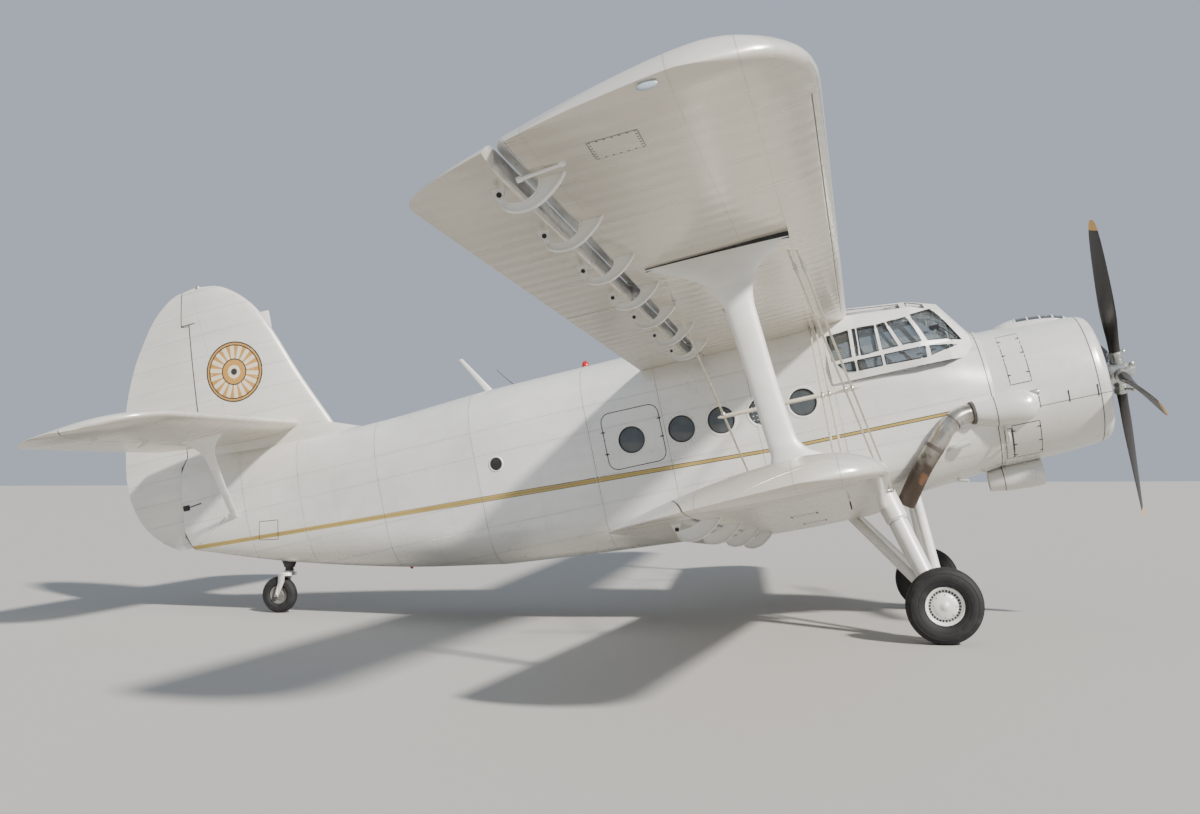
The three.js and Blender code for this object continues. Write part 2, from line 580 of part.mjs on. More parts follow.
// Knuckles of the two door hinges: one half on the frame, one on the leaf
const knuckles = { shell: [], cargo: [], frame: [], crew: [] };
for (const x of DOOR_HINGE.stations) {
  const { y, z, radius, length } = DOOR_HINGE;
  knuckles.cargo.push(rod([x, y, z], [x + length, y, z], radius, 8),
    box(x, x + length, y - 75, y, z - 40, z));
  knuckles.shell.push(rod([x - length, y, z], [x - SEAM, y, z], radius, 8),
    box(x - length, x - SEAM, y - 75, y, z, z + 30));
}
for (const z of CREW_HINGE.stations) {
  const { x, y, radius, length } = CREW_HINGE;
  knuckles.crew.push(rod([x, y, z], [x, y, z + length], radius, 8), box(x - 40, x, y, y + 36, z, z + length));
  knuckles.frame.push(rod([x, y, z - length], [x, y, z - SEAM], radius, 8),
    box(x, x + 40, y, y + 36, z - length, z - SEAM));
}

add(airframe, "nose_shell", cut(noseOuter, noseInner, canopyInner), FINISH.white);
const cabinBody = join(cabinOuter, cut(bellyCentre, noseClear), cut(roofCentre, canopyClear, noseClear));
add(airframe, "cabin_shell",
  join(cut(cabinBody, cabinInner, sidePanel(CARGO_DOOR, 600, 1200, RUNNING_GAP),
    sidePanel(HATCH, -1200, -600, SEAM), ...portholes), ...knuckles.shell), FINISH.white);
add(airframe, "escape_hatch",
  cut(skinPanel(HATCH, -1200, -600, SKIN), porthole(HATCH.window, -1200, 0)), FINISH.white);
add(airframe, "cargo_door",
  join(cut(skinPanel(CARGO_DOOR, 600, 1200, CARGO_DOOR.thick), sidePanel(CREW_DOOR, 600, 1200, RUNNING_GAP),
    porthole(CARGO_DOOR.window, 0, 1200, CARGO_DOOR.windowRadius)), ...knuckles.cargo, ...knuckles.frame),
  FINISH.white, [DOOR_HINGE.stations[1], DOOR_HINGE.y, DOOR_HINGE.z], [1, 0, 0]);
add(airframe, "crew_door",
  join(cut(skinPanel(CREW_DOOR, 600, 1200, CREW_DOOR.thick),
    porthole(CREW_DOOR.window, 0, 1200, CREW_DOOR.windowRadius)), ...knuckles.crew),
  FINISH.white, [CREW_HINGE.x, CREW_HINGE.y, CREW_HINGE.stations[0]], [0, 0, 1]);

// Canopy: a framed shell, and the glazing inside it
const sideWindow = (corners) => loft([-1200, -420].map((y) => corners.map(([x, z]) => [x, y, z])));
const windows = SIDE_PANES.flatMap((corners) => {
  const pane = sideWindow(corners);
  return [pane, handed(pane, 1)];
});
const rightPanes = [loft([700, 1100].map((x) => WINDSCREEN.map(([y, z]) => [x, -y, z]))),
  ...ROOF_PANES.map(({ rear, front, inner, outer }) => box(rear, front, -outer, -inner, 3150, 3600))];
windows.push(...rightPanes, ...rightPanes.map((pane) => handed(pane, 1)));
add(airframe, "canopy_frame", cut(canopyOuter, canopyInner, noseClear, ...windows), FINISH.white);
add(airframe, "canopy_glazing",
  cut(canopyLoft(-CANOPY_WALL - 2 * SEAM, -63, -10), canopyLoft(-CANOPY_WALL - 7, -71, -10), noseClear,
    box(-700, -560, -1200, 1200, 2500, 3600), box(-600, 1000, -1200, 1200, 2500, 2600)), FINISH.glass);

// Decks, bulkhead, seats and instrument panel
const interior = bodyLoft(NOSE_SECTIONS, -SKIN - SEAM, -SKIN, -10);
const hold = bodyLoft(CABIN_SECTIONS, -SKIN - SEAM, 10, 150);
const slab = ({ front, rear, top, thick }) => box(rear, front, -1000, 1000, top - thick, top);
add(airframe, "cabin_floor", slab(FLOOR).intersect(hold), FINISH.cabin);
add(airframe, "flight_floor",
  join(slab(FLIGHT_FLOOR),
    box(FLIGHT_FLOOR.rear, FLIGHT_FLOOR.rear + 40, -1000, 1000, 1000, FLIGHT_FLOOR.top))
    .intersect(interior), FINISH.cabin);
add(airframe, "bulkhead", cut(
  box(-690, -645, -1000, 1000, FLOOR.top + SEAM, 3500).intersect(hold),
  box(-800, -500, -280, 280, 1800, 3300)), FINISH.cabin);
for (const [name, side] of Object.entries(SIDES)) {
  const y = side * 430;
  const seat = join(
    box(-230, 230, y - 230, y + 230, 2290, 2380), box(-290, -200, y - 220, y + 220, 2290, 2960),
    box(-200, 180, y - 30, y + 30, FLIGHT_FLOOR.top + SEAM, 2300),
    box(-220, 200, y - 160, y + 160, FLIGHT_FLOOR.top + SEAM, FLIGHT_FLOOR.top + 30));
  add(airframe, `seat_${name}`, seat, FINISH.seat);
}
const panelBase = join(box(760, 830, -760, 760, FLIGHT_FLOOR.top + SEAM, 2760),
  ...[-430, 430].map((y) => join(rod([520, y, 2000], [500, y, 2600], 18, 6),
    rod([500, y, 2600], [470, y, 2600], 150, 10),
    box(500, 800, y - 20, y + 20, FLIGHT_FLOOR.top + SEAM, 2040))));
add(airframe, "instrument_panel",
  panelBase.intersect(bodyLoft(NOSE_SECTIONS, -SKIN - SEAM, -SKIN, 0)), FINISH.black);

// Engine: crankcase with nine finned cylinders, and its cowling
const engineParts = [turnedX([[1091, 0], [1091, 330], [1550, 340], [2080, 290], [2220, 190], [2408, 120],
  [2408, 0]], 0, ENGINE_AXIS_Z, 16)];
for (let k = 0; k < 9; k += 1) {
  const angle = (2 * Math.PI * k) / 9;
  const out = (radius, x) => [x, radius * Math.sin(angle), ENGINE_AXIS_Z + radius * Math.cos(angle)];
  engineParts.push(rod(out(200, 1880), out(600, 1880), 96, 8),
    rod(out(560, 1880), out(680, 1880), 124, 6, 84));
}
add(airframe, "engine", join(...engineParts), FINISH.bare);
const ringOf = (outline, wall) => turnedX([...outline, ...outline.map(([x, r]) => [x, r - wall]).reverse(),
  outline[0]], 0, ENGINE_AXIS_Z, 32);
const cowlCore = turnedX([[1000, 0], ...COWL_OUTER.map(([x, r]) => [x, r - COWL_WALL]), [2205, 0]],
  0, ENGINE_AXIS_Z, 32);
const scoop = loft(SCOOP_SECTIONS.map(({ x, half, top }) =>
  [[x, -half, 2600], [x, -half, top - 60], [x, -half * 0.7, top], [x, half * 0.7, top], [x, half, top - 60],
    [x, half, 2600]]));
const cowlOuter = join(ringOf(COWL_OUTER, COWL_WALL), cut(scoop, cowlCore));
add(airframe, "engine_cowling", cowlOuter, FINISH.white);
add(airframe, "nose_cowl",
  turnedX([...NOSE_RING, ...NOSE_LIP, NOSE_RING[0]], 0, ENGINE_AXIS_Z, 32), FINISH.white);
const cowlClear = turnedX(
  [[1000, 0], [1000, 801], ...COWL_OUTER.map(([x, r]) => [x, r + SEAM + 0.5]), [2300, 0]],
  0, ENGINE_AXIS_Z, 32);
const [mouth, mouthRadius] = OIL_COOLER.outline.at(-1);
const coolerBore = mouthRadius - OIL_COOLER.wall;
add(airframe, "oil_cooler", cut(
  turnedX([[OIL_COOLER.outline[0][0], 0], ...OIL_COOLER.outline, [mouth, coolerBore],
    [mouth - OIL_COOLER.deep, coolerBore], [mouth - OIL_COOLER.deep, 0]], 0, OIL_COOLER.z, 20),
  cowlClear, noseClear), FINISH.white);
const shroud = loft(SHROUD_SECTIONS.map(({ x, z, radius }) => {
  const ring = [];
  for (let i = 0; i < 16; i += 1) {
    const angle = (2 * Math.PI * i) / 16;
    ring.push([x, -800 + radius * Math.cos(angle), z + radius * Math.sin(angle)]);
  }
  return ring;
}));
add(airframe, "exhaust_shroud",
  cut(shroud, cowlClear, bodyLoft(NOSE_SECTIONS, SEAM, 40, -SEAM)), FINISH.white);
const { path } = EXHAUST;
const [[x0, ...inlet], [x1, y1, z1]] = [path[0], path.at(-1)];
const bore = tube([[x0 + 30, ...inlet], ...path.slice(1, -1), [x1 - 40, y1 + 16, z1 - 56]],
  EXHAUST.radius - EXHAUST.wall);
add(airframe, "exhaust_pipe", cut(tube(path, EXHAUST.radius), bore, bodyLoft(NOSE_SECTIONS, SEAM),
  box(SHROUD_SECTIONS[0].x - SEAM, 1000, -1200, -600, 1700, 2200)), FINISH.burnt);

// Propeller
const propeller = new THREE.Group();
propeller.position.set(PROP.x, 0, ENGINE_AXIS_Z);
propeller.rotation.x = THREE.MathUtils.degToRad(PROP.turn);
airframe.add(propeller);
const hubParts = [turnedX([[-151, 0], [-151, 100], [-90, 130], [70, 130], [110, 95], [150, 70], [190, 40],
  [190, 0]], 0, 0, 16)];
for (let k = 0; k < 4; k += 1) {
  const angle = (Math.PI / 2) * k;
  const out = (radius) => [0, radius * Math.sin(angle), radius * Math.cos(angle)];
  hubParts.push(rod(out(60), out(PROP.bladeRoot - SEAM), 72, 10));
}
add(propeller, "propeller_hub", join(...hubParts), FINISH.bare, [0, 0, 0], [1, 0, 0]);
for (let k = 0; k < 4; k += 1) {
  const blade = loft(BLADE_SECTIONS.map(({ radius, chord, thick, pitch }) => {
    const beta = THREE.MathUtils.degToRad(pitch);
    const ring = [];
    for (let i = 0; i < 10; i += 1) {
      const angle = (2 * Math.PI * i) / 10;
      const [along, across] = [(chord / 2) * Math.cos(angle), (thick / 2) * Math.sin(angle)];
      ring.push([along * Math.sin(beta) + across * Math.cos(beta),
        -along * Math.cos(beta) + across * Math.sin(beta), radius]);
    }
    return ring;
  }));
  const turn = new THREE.Matrix4().makeRotationX(-(Math.PI / 2) * k);
  add(propeller, `blade_${k + 1}`, placed(blade, turn), FINISH.black);
}

// Wings, built in the right wing's frame and mirrored for the left
const slabClear = ({ root }) => box(-9000, 3000, -root, root, -2000, 6000);
function makeWing(spec, name, prefix, arms, extras) {
  const side = SIDES[name];
  const pose = wingMatrix(spec, SIDES.right);
  const back = pose.clone().invert();
  const whole = wingSolid({ ...spec, root: spec.root - 40 });
  const zones = spec.slatTo
    ? [{ piece: `${prefix}_flap_${name}`, inner: spec.flapFrom, outer: spec.split },
      { piece: `aileron_${name}`, inner: spec.split + 2 * RUNNING_GAP, outer: spec.semiSpan + 50 }]
    : [{ piece: `${prefix}_flap_${name}`, inner: spec.flapFrom, outer: spec.split }];
  const group = new THREE.Group();
  const own = wingMatrix(spec, side);
  own.decompose(group.position, group.quaternion, group.scale);
  airframe.add(group);
  let fixed = whole;
  for (const { piece, inner, outer } of zones) {
    const lugs = arms.filter((y) => y > inner && y < outer).map((y) => flapLug(spec, y));
    const surface = cut(whole.intersect(hingedZone(spec, inner, outer, 0)), underSlot(spec, inner, outer));
    const moving = join(surface, ...lugs);
    fixed = cut(fixed, hingedZone(spec, inner, outer, RUNNING_GAP));
    add(group, piece, handed(moving, side), FINISH.white,
      [-spec.hingeAt, side * (inner + outer) / 2, -spec.hingeDrop], [0, 1, 0]);
  }
  if (spec.slatTo) {
    const { reach, half, low, high } = SLAT_TRACK;
    const tracks = (grow) => SLAT_TRACKS.map((y) =>
      box(-reach - 4 * grow, -30, -y - half - grow, -y + half + grow, low - grow, high + grow));
    const slat = join(whole.intersect(slatZone(spec.slatFrom, spec.slatTo, 0)), ...tracks(0));
    fixed = cut(fixed, slatZone(spec.slatFrom, spec.slatTo, RUNNING_GAP / 2), ...tracks(SEAM));
    add(group, `slat_${name}`, handed(slat, side), FINISH.white, [0, 0, 0], [1, 0, 0]);
  }
  fixed = join(fixed, ...arms.map((y) => hingeArm(spec, y)));
  const onAirframe = cut(placed(fixed, pose), slabClear(spec), fuselageClear, canopyClear);
  add(group, `${prefix}_wing_${name}`, handed(join(placed(onAirframe, back), ...extras), side), FINISH.white);
  return { fixed: onAirframe };
}

// A sickle-shaped hinge arm that comes down ahead of the slot and up again to the hinge
const hingeArm = (wing, y) => atHinge(wing, HINGE_ARM, -y - 8, -y + 8);

function flapLug({ hingeAt, hingeDrop }, y) {
  const w = -y + 8 + SEAM;
  return join(rod([-hingeAt, w, -hingeDrop], [-hingeAt, w + 14, -hingeDrop], 24, 8),
    box(-hingeAt - 24, -hingeAt + 24, w, w + 14, -hingeDrop, 10));
}

const jackPad = (y) => rod([-560, -y, -150], [-560, -y, -60], 60, 12);
const wings = {};
for (const name of Object.keys(SIDES)) {
  wings[name] = {
    upper: makeWing(UPPER, name, "upper", HINGE_STATIONS, []).fixed,
    lower: makeWing(LOWER, name, "lower", LOWER_HINGE_STATIONS, [jackPad(JACK_PAD_Y)]).fixed,
  };
}
const clearAbove = (body) => join(body, moved(body, 0, 0, -SEAM));
const clearBelow = (body) => join(body, moved(body, 0, 0, SEAM));
const upperClear = clearAbove(wings.right.upper);
const lowerClear = join(clearBelow(wings.right.lower), moved(wings.right.lower, 0, 0, -SEAM));

// Interplane struts and bracing
const strut = cut(faired(STRUT_SECTIONS, -STRUT_Y, 12), upperClear, lowerClear);
const strutClear = join(strut, moved(strut, 0, 0, -SEAM), moved(strut, 0, SEAM, 0));
const wires = (radius) => WIRES.flatMap(({ from, to, pair }) =>
  (pair ? [-WIRE_PAIR, WIRE_PAIR] : [0]).map((shift) =>
    rod([from[0] + shift, -from[1], from[2]], [to[0] + shift, -to[1], to[2]], radius, 5)));
const stick = rod([SPREADER.rear, -SPREADER.y, SPREADER.z], [SPREADER.front, -SPREADER.y, SPREADER.z],
  SPREADER.radius, 8);
const bracing = cut(join(stick, ...wires(WIRE_RADIUS)), upperClear, lowerClear, strutClear, fuselageClear,
  box(-3000, 1000, -LOWER.root, LOWER.root, 0, 5000));

// Main gear: a shock leg and two braces from the body to the axle
const axle = join(
  rod([0, -LEG_FOOT_Y + 30, 0], [0, -MAIN_WHEEL.halfTrack - 40 + SEAM, 0], AXLE_RADIUS, 16),
  rod([0, -LEG_FOOT_Y - 60, 0], [0, -LEG_FOOT_Y + 60, 0], 95, 14));
const leg = join(axle, ...GEAR_RODS.flatMap(({ from, to, radius, collar }) => [
  rod([from[0], -from[1], from[2]], [to[0], -to[1], to[2]], radius, 10),
  ...(collar ? [rod([from[0], -from[1], from[2]],
    [from[0] + (to[0] - from[0]) * collar.share, -(from[1] + (to[1] - from[1]) * collar.share),
      from[2] + (to[2] - from[2]) * collar.share], collar.radius, 12)] : []),
]));
const gearLeg = cut(leg, lowerClear, fuselageClear, moved(bellyCentre, 0, 0, -SEAM),
  ...wires(WIRE_RADIUS + 2 * SEAM));

for (const [name, side] of Object.entries(SIDES)) {
  add(airframe, `interplane_strut_${name}`, handed(strut, side), FINISH.white);
  add(airframe, `bracing_${name}`, handed(bracing, side), FINISH.steel);
  add(airframe, `main_leg_${name}`, handed(gearLeg, side), FINISH.white);
  const [r, w] = [MAIN_WHEEL.rim, MAIN_WHEEL.width / 2];
  const rim = turnedY([[-104, 0], [-100, 50], [-84, 96], [-70, 104], [-62, 150], [-84, 190], [-88, r],
    [88, r], [84, 190], [60, 150], [60, AXLE_RADIUS + 1], [-40, AXLE_RADIUS + 1], [-40, 0]], 24);
  const tyre = turnedY([[-74, r + SEAM + 1], [-112, r + 30], [-w, 300], [-w + 24, 362], [-w + 74, 394],
    [-24, 400], [24, 400], [w - 74, 394], [w - 24, 362], [w, 300], [112, r + 30], [74, r + SEAM + 1],
    [-74, r + SEAM + 1]], 30);
  const hub = [0, side * MAIN_WHEEL.halfTrack, 0];
  for (const [piece, body, material] of [["wheel", rim, FINISH.white], ["tyre", tyre, FINISH.rubber]]) {
    const mesh = add(airframe, `main_${piece}_${name}`, handed(body, side), material);
    mesh.position.set(...hub);
    mesh.userData.axis = [0, 1, 0];
  }
}

// Fin, rudder and tailplane
const finRing = ({ z, nose, tail, thick }) => {
  const chord = nose - tail;
  const ring = aerofoil(nose, chord, thick / chord, 0);
  return ring.map(([x, y]) => [x, y, z]);
};
const tailFin = loft(FIN_SECTIONS.map(finRing));
const axisAt = (z) => {
  const [[x0, z0], [x1, z1]] = [RUDDER_AXIS.low, RUDDER_AXIS.high];
  return x0 + ((x1 - x0) * (z - z0)) / (z1 - z0);
};
const rudderZone = (grow) => {
  const behind = loft([-700, 700].map((y) =>
    [[axisAt(2000), 2000], [axisAt(6200), 6200], [-11500, 6200], [-11500, 2000]].map(([x, z]) => [x, y, z])));
  const [z0, z1] = [BALANCE.low - grow, BALANCE.high + grow];
  return join(behind,
    rod([axisAt(2000), 0, 2000], [axisAt(6200), 0, 6200], RUDDER_NOSE + grow, 20),
    rod([axisAt(z0), 0, z0], [axisAt(z1), 0, z1], BALANCE.lowRadius + grow, 32, BALANCE.highRadius + grow));
};
const axisVector = new THREE.Vector3(axisAt(1) - axisAt(0), 0, 1).normalize();
const disc = (z, radius, thick) => {
  const half = axisVector.clone().multiplyScalar(thick / 2);
  return rod([axisAt(z) - half.x, 0, z - half.z], [axisAt(z) + half.x, 0, z + half.z], radius, 16);
};
const hingePlate = (z, depth) =>
  join(disc(z, 45, 14), box(axisAt(z), axisAt(z) + depth, -22, 22, z - 6, z + 6))
    .intersect(disc(z, depth + 20, 14));
const rudder = cut(tailFin.intersect(rudderZone(0)), ...RUDDER_HINGES.map(({ z }) =>
  disc(z, RUDDER_NOSE + 20, 14 + 2 * SEAM)));
add(airframe, "rudder", rudder, FINISH.white, [axisAt(2900), 0, 2900], axisVector.toArray());
const tailCone = join(cut(tailOuter, rudderZone(RUNNING_GAP)), hingePlate(RUDDER_HINGES[0].z, 180));
add(airframe, "tail_cone", tailCone, FINISH.white);
const tailConeClear = bothSides(bodyLoft(TAIL_SECTIONS, SEAM, 5, -5));
const fin = join(cut(tailFin, rudderZone(RUNNING_GAP), tailConeClear, box(-12000, -6000, -900, 900, 0, 3300)),
  hingePlate(RUDDER_HINGES[1].z, 180));
add(airframe, "fin", fin, FINISH.white);

const stabiliser = loft(TAILPLANE_SECTIONS.map(({ y, nose, tail }) =>
  aerofoil(nose, nose - tail, 0.105, 0).map(([x, z]) => [x, -y, TAILPLANE.z + z])));
const elevatorZone = (inner, grow) => join(
  box(-11000, TAILPLANE.hinge, -4000, -inner, 3000, 4300),
  rod([TAILPLANE.hinge, -4000, TAILPLANE.z], [TAILPLANE.hinge, -inner, TAILPLANE.z],
    TAILPLANE.radius + grow, 18));
const finClear = join(bothSides(tailFin), moved(bothSides(tailFin), 0, -SEAM, 0));
const plates = (grow) => TAILPLANE.hinges.map((y) =>
  rod([TAILPLANE.hinge, -y - 7 - grow, TAILPLANE.z], [TAILPLANE.hinge, -y + 7 + grow, TAILPLANE.z],
    grow ? TAILPLANE.radius + 14 : 40, 14));
const arms = TAILPLANE.hinges.map((y) => box(TAILPLANE.hinge, TAILPLANE.hinge + 130, -y - 7, -y + 7,
  TAILPLANE.z - 20, TAILPLANE.z + 20));
const tailplane = join(
  cut(stabiliser, elevatorZone(0, RUNNING_GAP), finClear, tailConeClear), ...plates(0), ...arms);
const elevator = cut(stabiliser.intersect(elevatorZone(TAILPLANE.inner, 0)), ...plates(SEAM));
const tailStrut = cut(faired(TAIL_STRUT_SECTIONS, 0, 14), tailConeClear,
  join(stabiliser, moved(stabiliser, 0, 0, -SEAM)));
for (const [name, side] of Object.entries(SIDES)) {
  add(airframe, `tailplane_${name}`, handed(tailplane, side), FINISH.white);
  add(airframe, `elevator_${name}`, handed(elevator, side), FINISH.white,
    [TAILPLANE.hinge, side * TAILPLANE.inner, TAILPLANE.z], [0, 1, 0]);
  add(airframe, `tailplane_strut_${name}`, handed(tailStrut, side), FINISH.white);
}

// Tail gear: a short leg, a fork that swivels about the vertical, and its wheel
const upright = new THREE.Group();
upright.position.set(...TAIL_HEAD);
upright.rotation.y = GROUND_ANGLE;
airframe.add(upright);
const uprightPose = new THREE.Matrix4().makeRotationY(GROUND_ANGLE).setPosition(...TAIL_HEAD);
const tailLeg = join(rod([0, 0, SEAM], [0, 0, 60], 58, 14), rod([0, 0, 40], [0, 0, 320], 46, 12, 90),
  rod([0, 0, 120], [0, 0, 320], 100, 14, 135));
const legBack = uprightPose.clone().invert();
add(upright, "tail_leg", placed(cut(placed(tailLeg, uprightPose), tailConeClear), legBack), FINISH.black);
const [trailX, trailZ] = TAIL_AXLE;
const forkArm = (side) => loft([[-60, FORK.bridgeHigh, 50], [-72, -150, 38], [trailX, trailZ - 20, 28]]
  .map(([x, z, half]) => {
    const [y0, y1] = [side * FORK.armY - 10, side * FORK.armY + 10];
    return [[x - half, y0, z], [x + half, y0, z], [x + half, y1, z], [x - half, y1, z]];
  }));
const across = (reach) => [[trailX, -reach, trailZ], [trailX, reach, trailZ]];
const fork = join(
  rod([0, 0, FORK.bridgeLow], [0, 0, 0], 58, 14),
  box(-110, 50, -FORK.armY - 10, FORK.armY + 10, FORK.bridgeLow, FORK.bridgeHigh),
  forkArm(-1), forkArm(1), rod(...across(FORK.armY + 18), 16, 12));
add(upright, "tail_fork", fork, FINISH.white, [0, 0, 0], [0, 0, 1]);
const tailRim = turnedY([[-42, 17], [-42, 60], [-30, 90], [-46, 116], [46, 116], [30, 90], [42, 60], [42, 17],
  [-42, 17]], 16);
const tailTyre = turnedY([[-44, 117.5], [-70, 150], [-70, 190], [-46, 224], [-14, 235], [14, 235], [46, 224],
  [70, 190], [70, 150], [44, 117.5], [-44, 117.5]], 20);
for (const [piece, body, material] of [["wheel", tailRim, FINISH.white], ["tyre", tailTyre, FINISH.rubber]]) {
  const mesh = add(upright, `tail_${piece}`, body, material);
  mesh.position.set(trailX, 0, trailZ);
  mesh.userData.axis = [0, 1, 0];
}

// Stand the aircraft on the floor with the middle of its plan at the origin
aircraft.updateMatrixWorld(true);
const extent = new THREE.Box3().setFromObject(aircraft, true);
airframe.position.x -= (extent.min.x + extent.max.x) / 2;
airframe.position.z -= extent.min.z;

export default aircraft;
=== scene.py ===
"""The finished look of a light transport biplane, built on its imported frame.

Sizes are in metres. Pieces are drawn level, in the airframe's own axes (x forwards from the
main axle, y to the left, z up), and are then tipped onto the tail wheel with the frame. What
both sides have is drawn for the right side and mirrored: a * in its name stands for the side.
"""
import json
from math import atan, atan2, cos, hypot, pi, radians, sin, sqrt, tan

import bmesh
import bpy
from mathutils import Matrix, Vector
from mathutils.bvhtree import BVHTree


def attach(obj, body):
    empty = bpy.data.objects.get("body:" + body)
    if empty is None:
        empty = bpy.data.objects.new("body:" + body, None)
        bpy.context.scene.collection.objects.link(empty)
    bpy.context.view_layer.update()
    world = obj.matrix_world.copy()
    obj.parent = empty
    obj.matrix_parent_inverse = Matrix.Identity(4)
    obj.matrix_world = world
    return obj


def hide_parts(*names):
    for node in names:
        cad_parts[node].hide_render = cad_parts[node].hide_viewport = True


bl_info = {
    "name": "Transport biplane",
    "version": (1, 0, 0),
    "blender": (4, 5, 0),
    "location": "View3D > Sidebar > Biplane",
    "description": "Builds the visible pieces of a parked transport biplane",
    "category": "Add Mesh",
}

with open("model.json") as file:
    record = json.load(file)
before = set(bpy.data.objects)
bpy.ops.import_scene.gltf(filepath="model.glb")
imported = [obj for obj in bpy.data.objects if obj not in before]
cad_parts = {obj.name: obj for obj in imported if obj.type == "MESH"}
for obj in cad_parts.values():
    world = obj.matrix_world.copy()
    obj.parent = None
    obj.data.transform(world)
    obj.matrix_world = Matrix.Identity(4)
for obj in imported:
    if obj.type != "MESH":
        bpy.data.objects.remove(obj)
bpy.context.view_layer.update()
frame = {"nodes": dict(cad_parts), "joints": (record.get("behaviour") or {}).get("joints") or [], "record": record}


def joint(name):
    """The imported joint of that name."""
    return next(entry for entry in frame["joints"] if entry["name"] == name)


# The level airframe, set on the parked frame by the main axle and the thrust line
AXLE = joint("main_wheel_right_spin")["pos_m"]
THRUST = joint("propeller_spin")["axis"]
TIPPED = atan2(THRUST[2], THRUST[0])
AIRFRAME = Matrix.Translation((AXLE[0], 0, AXLE[2])) @ Matrix.Rotation(-TIPPED, 4, "Y")
LEVEL = Matrix.Identity(4)
MIRROR = Matrix.Scale(-1, 4, (0, 1, 0))
SIDES = {"right": LEVEL, "left": MIRROR}

# Body sections: station, bottom, top, half width, reach and rise of the lower and the upper corner
NOSE_SECTIONS = [
    (-0.62, 1.14, 2.89, 0.93, 0.52, 0.43, 0.6, 0.4),
    (0.0, 1.16, 2.89, 0.925, 0.62, 0.5, 0.7, 0.5),
    (0.62, 1.21, 2.89, 0.88, 0.76, 0.68, 0.82, 0.64),
    (1.09, 1.265, 2.87, 0.8, 0.79, 0.8, 0.79, 0.8),
]
CABIN_SECTIONS = [
    (-4.95, 1.305, 3.455, 0.852, 0.48, 0.45, 0.55, 0.66),
    (-4.45, 1.265, 3.46, 0.896, 0.48, 0.44, 0.56, 0.6),
    (-3.4, 1.19, 3.47, 0.922, 0.48, 0.42, 0.56, 0.56),
    (-2.0, 1.12, 3.49, 0.93, 0.48, 0.4, 0.54, 0.5),
    (-0.62, 1.14, 3.47, 0.93, 0.52, 0.43, 0.56, 0.52),
]
TAIL_SECTIONS = [
    (-9.33, 2.33, 3.56, 0.112, 0.09, 0.3, 0.07, 0.5),
    (-7.9, 1.89, 3.42, 0.34, 0.27, 0.56, 0.24, 0.9),
    (-6.3, 1.52, 3.405, 0.62, 0.42, 0.52, 0.45, 0.82),
    (-4.95, 1.305, 3.455, 0.852, 0.48, 0.45, 0.55, 0.66),
]
SKIN = 0.05
# Canopy sections: station, then sill, belt, eave, brow and roof as (half width, height), and the crown
CANOPY_SECTIONS = [
    (-0.62, (0.945, 2.56), (0.96, 2.76), (0.895, 3.14), (0.8, 3.31), (0.45, 3.45), 3.47),
    (-0.25, (0.965, 2.56), (0.995, 2.76), (0.885, 3.14), (0.76, 3.3), (0.45, 3.425), 3.45),
    (0.4, (0.955, 2.56), (0.985, 2.76), (0.87, 3.12), (0.73, 3.25), (0.44, 3.35), 3.38),
    (0.72, (0.88, 2.56), (0.9, 2.76), (0.8, 3.01), (0.66, 3.14), (0.4, 3.25), 3.29),
    (0.985, (0.56, 2.56), (0.56, 2.7), (0.52, 2.8), (0.44, 2.85), (0.3, 2.88), 2.888),
]
CANOPY_WALL = 0.028

# Inner edge of a hinge arm: open round a surface that goes up and down, full round one that only goes down
OPEN_ARM = [(0.255, 0.11), (0.25, 0.03), (0.235, -0.02), (0.19, -0.06), (0.11, -0.08), (0.03, -0.058)]
FULL_ARM = [(0.255, 0.11), (0.252, 0.075), (0.23, 0.04), (0.18, 0.012), (0.11, -0.008), (0.045, -0.012)]
UPPER = {
    "arm": OPEN_ARM,
    "chord": 2.45, "semi_span": 9.088, "root": 0.84, "nose_x": -0.298, "nose_z": 3.2995, "dihedral": 2.86,
    "incidence": 3.0, "hinge_at": 1.92, "hinge_drop": 0.07, "hinge_radius": 0.222, "slot_to": 8.6,
    "surfaces": {"upper_flap": (0.95, 4.5), "aileron": (4.52, 9.138)},
}
LOWER = {
    "arm": FULL_ARM,
    "chord": 2.0, "semi_span": 7.118, "root": 0.86, "nose_x": -0.3585, "nose_z": 1.0405, "dihedral": 4.3,
    "incidence": 1.0, "hinge_at": 1.568, "hinge_drop": 0.06, "hinge_radius": 0.182, "slot_to": 6.5,
    "surfaces": {"lower_flap": (0.9, 6.46)},
}
WING_THICKNESS = 0.14
WING_CAMBER = 0.04
GAP = 0.01  # round what moves
RIB_PITCH = 0.235
SPARS = (0.16, 0.31, 0.65)  # shares of the chord
# Wing tip of the upper wing: distance inboard of the tip, nose setback, tail edge behind the nose line, thickness
TIP = [
    (-0.012, 0.69, 0.8, 0.06), (0.0, 0.6, 0.9, 0.13), (0.078, 0.31, 1.3, 0.17),
    (0.188, 0.17, 1.64, 0.158), (0.324, 0.075, 1.97, 0.148), (0.466, 0.028, 2.215, 0.142),
    (0.614, 0.008, 2.385, 0.14), (0.74, 0.002, 2.44, 0.14), (1.0, 0.0, 2.45, 0.14),
]
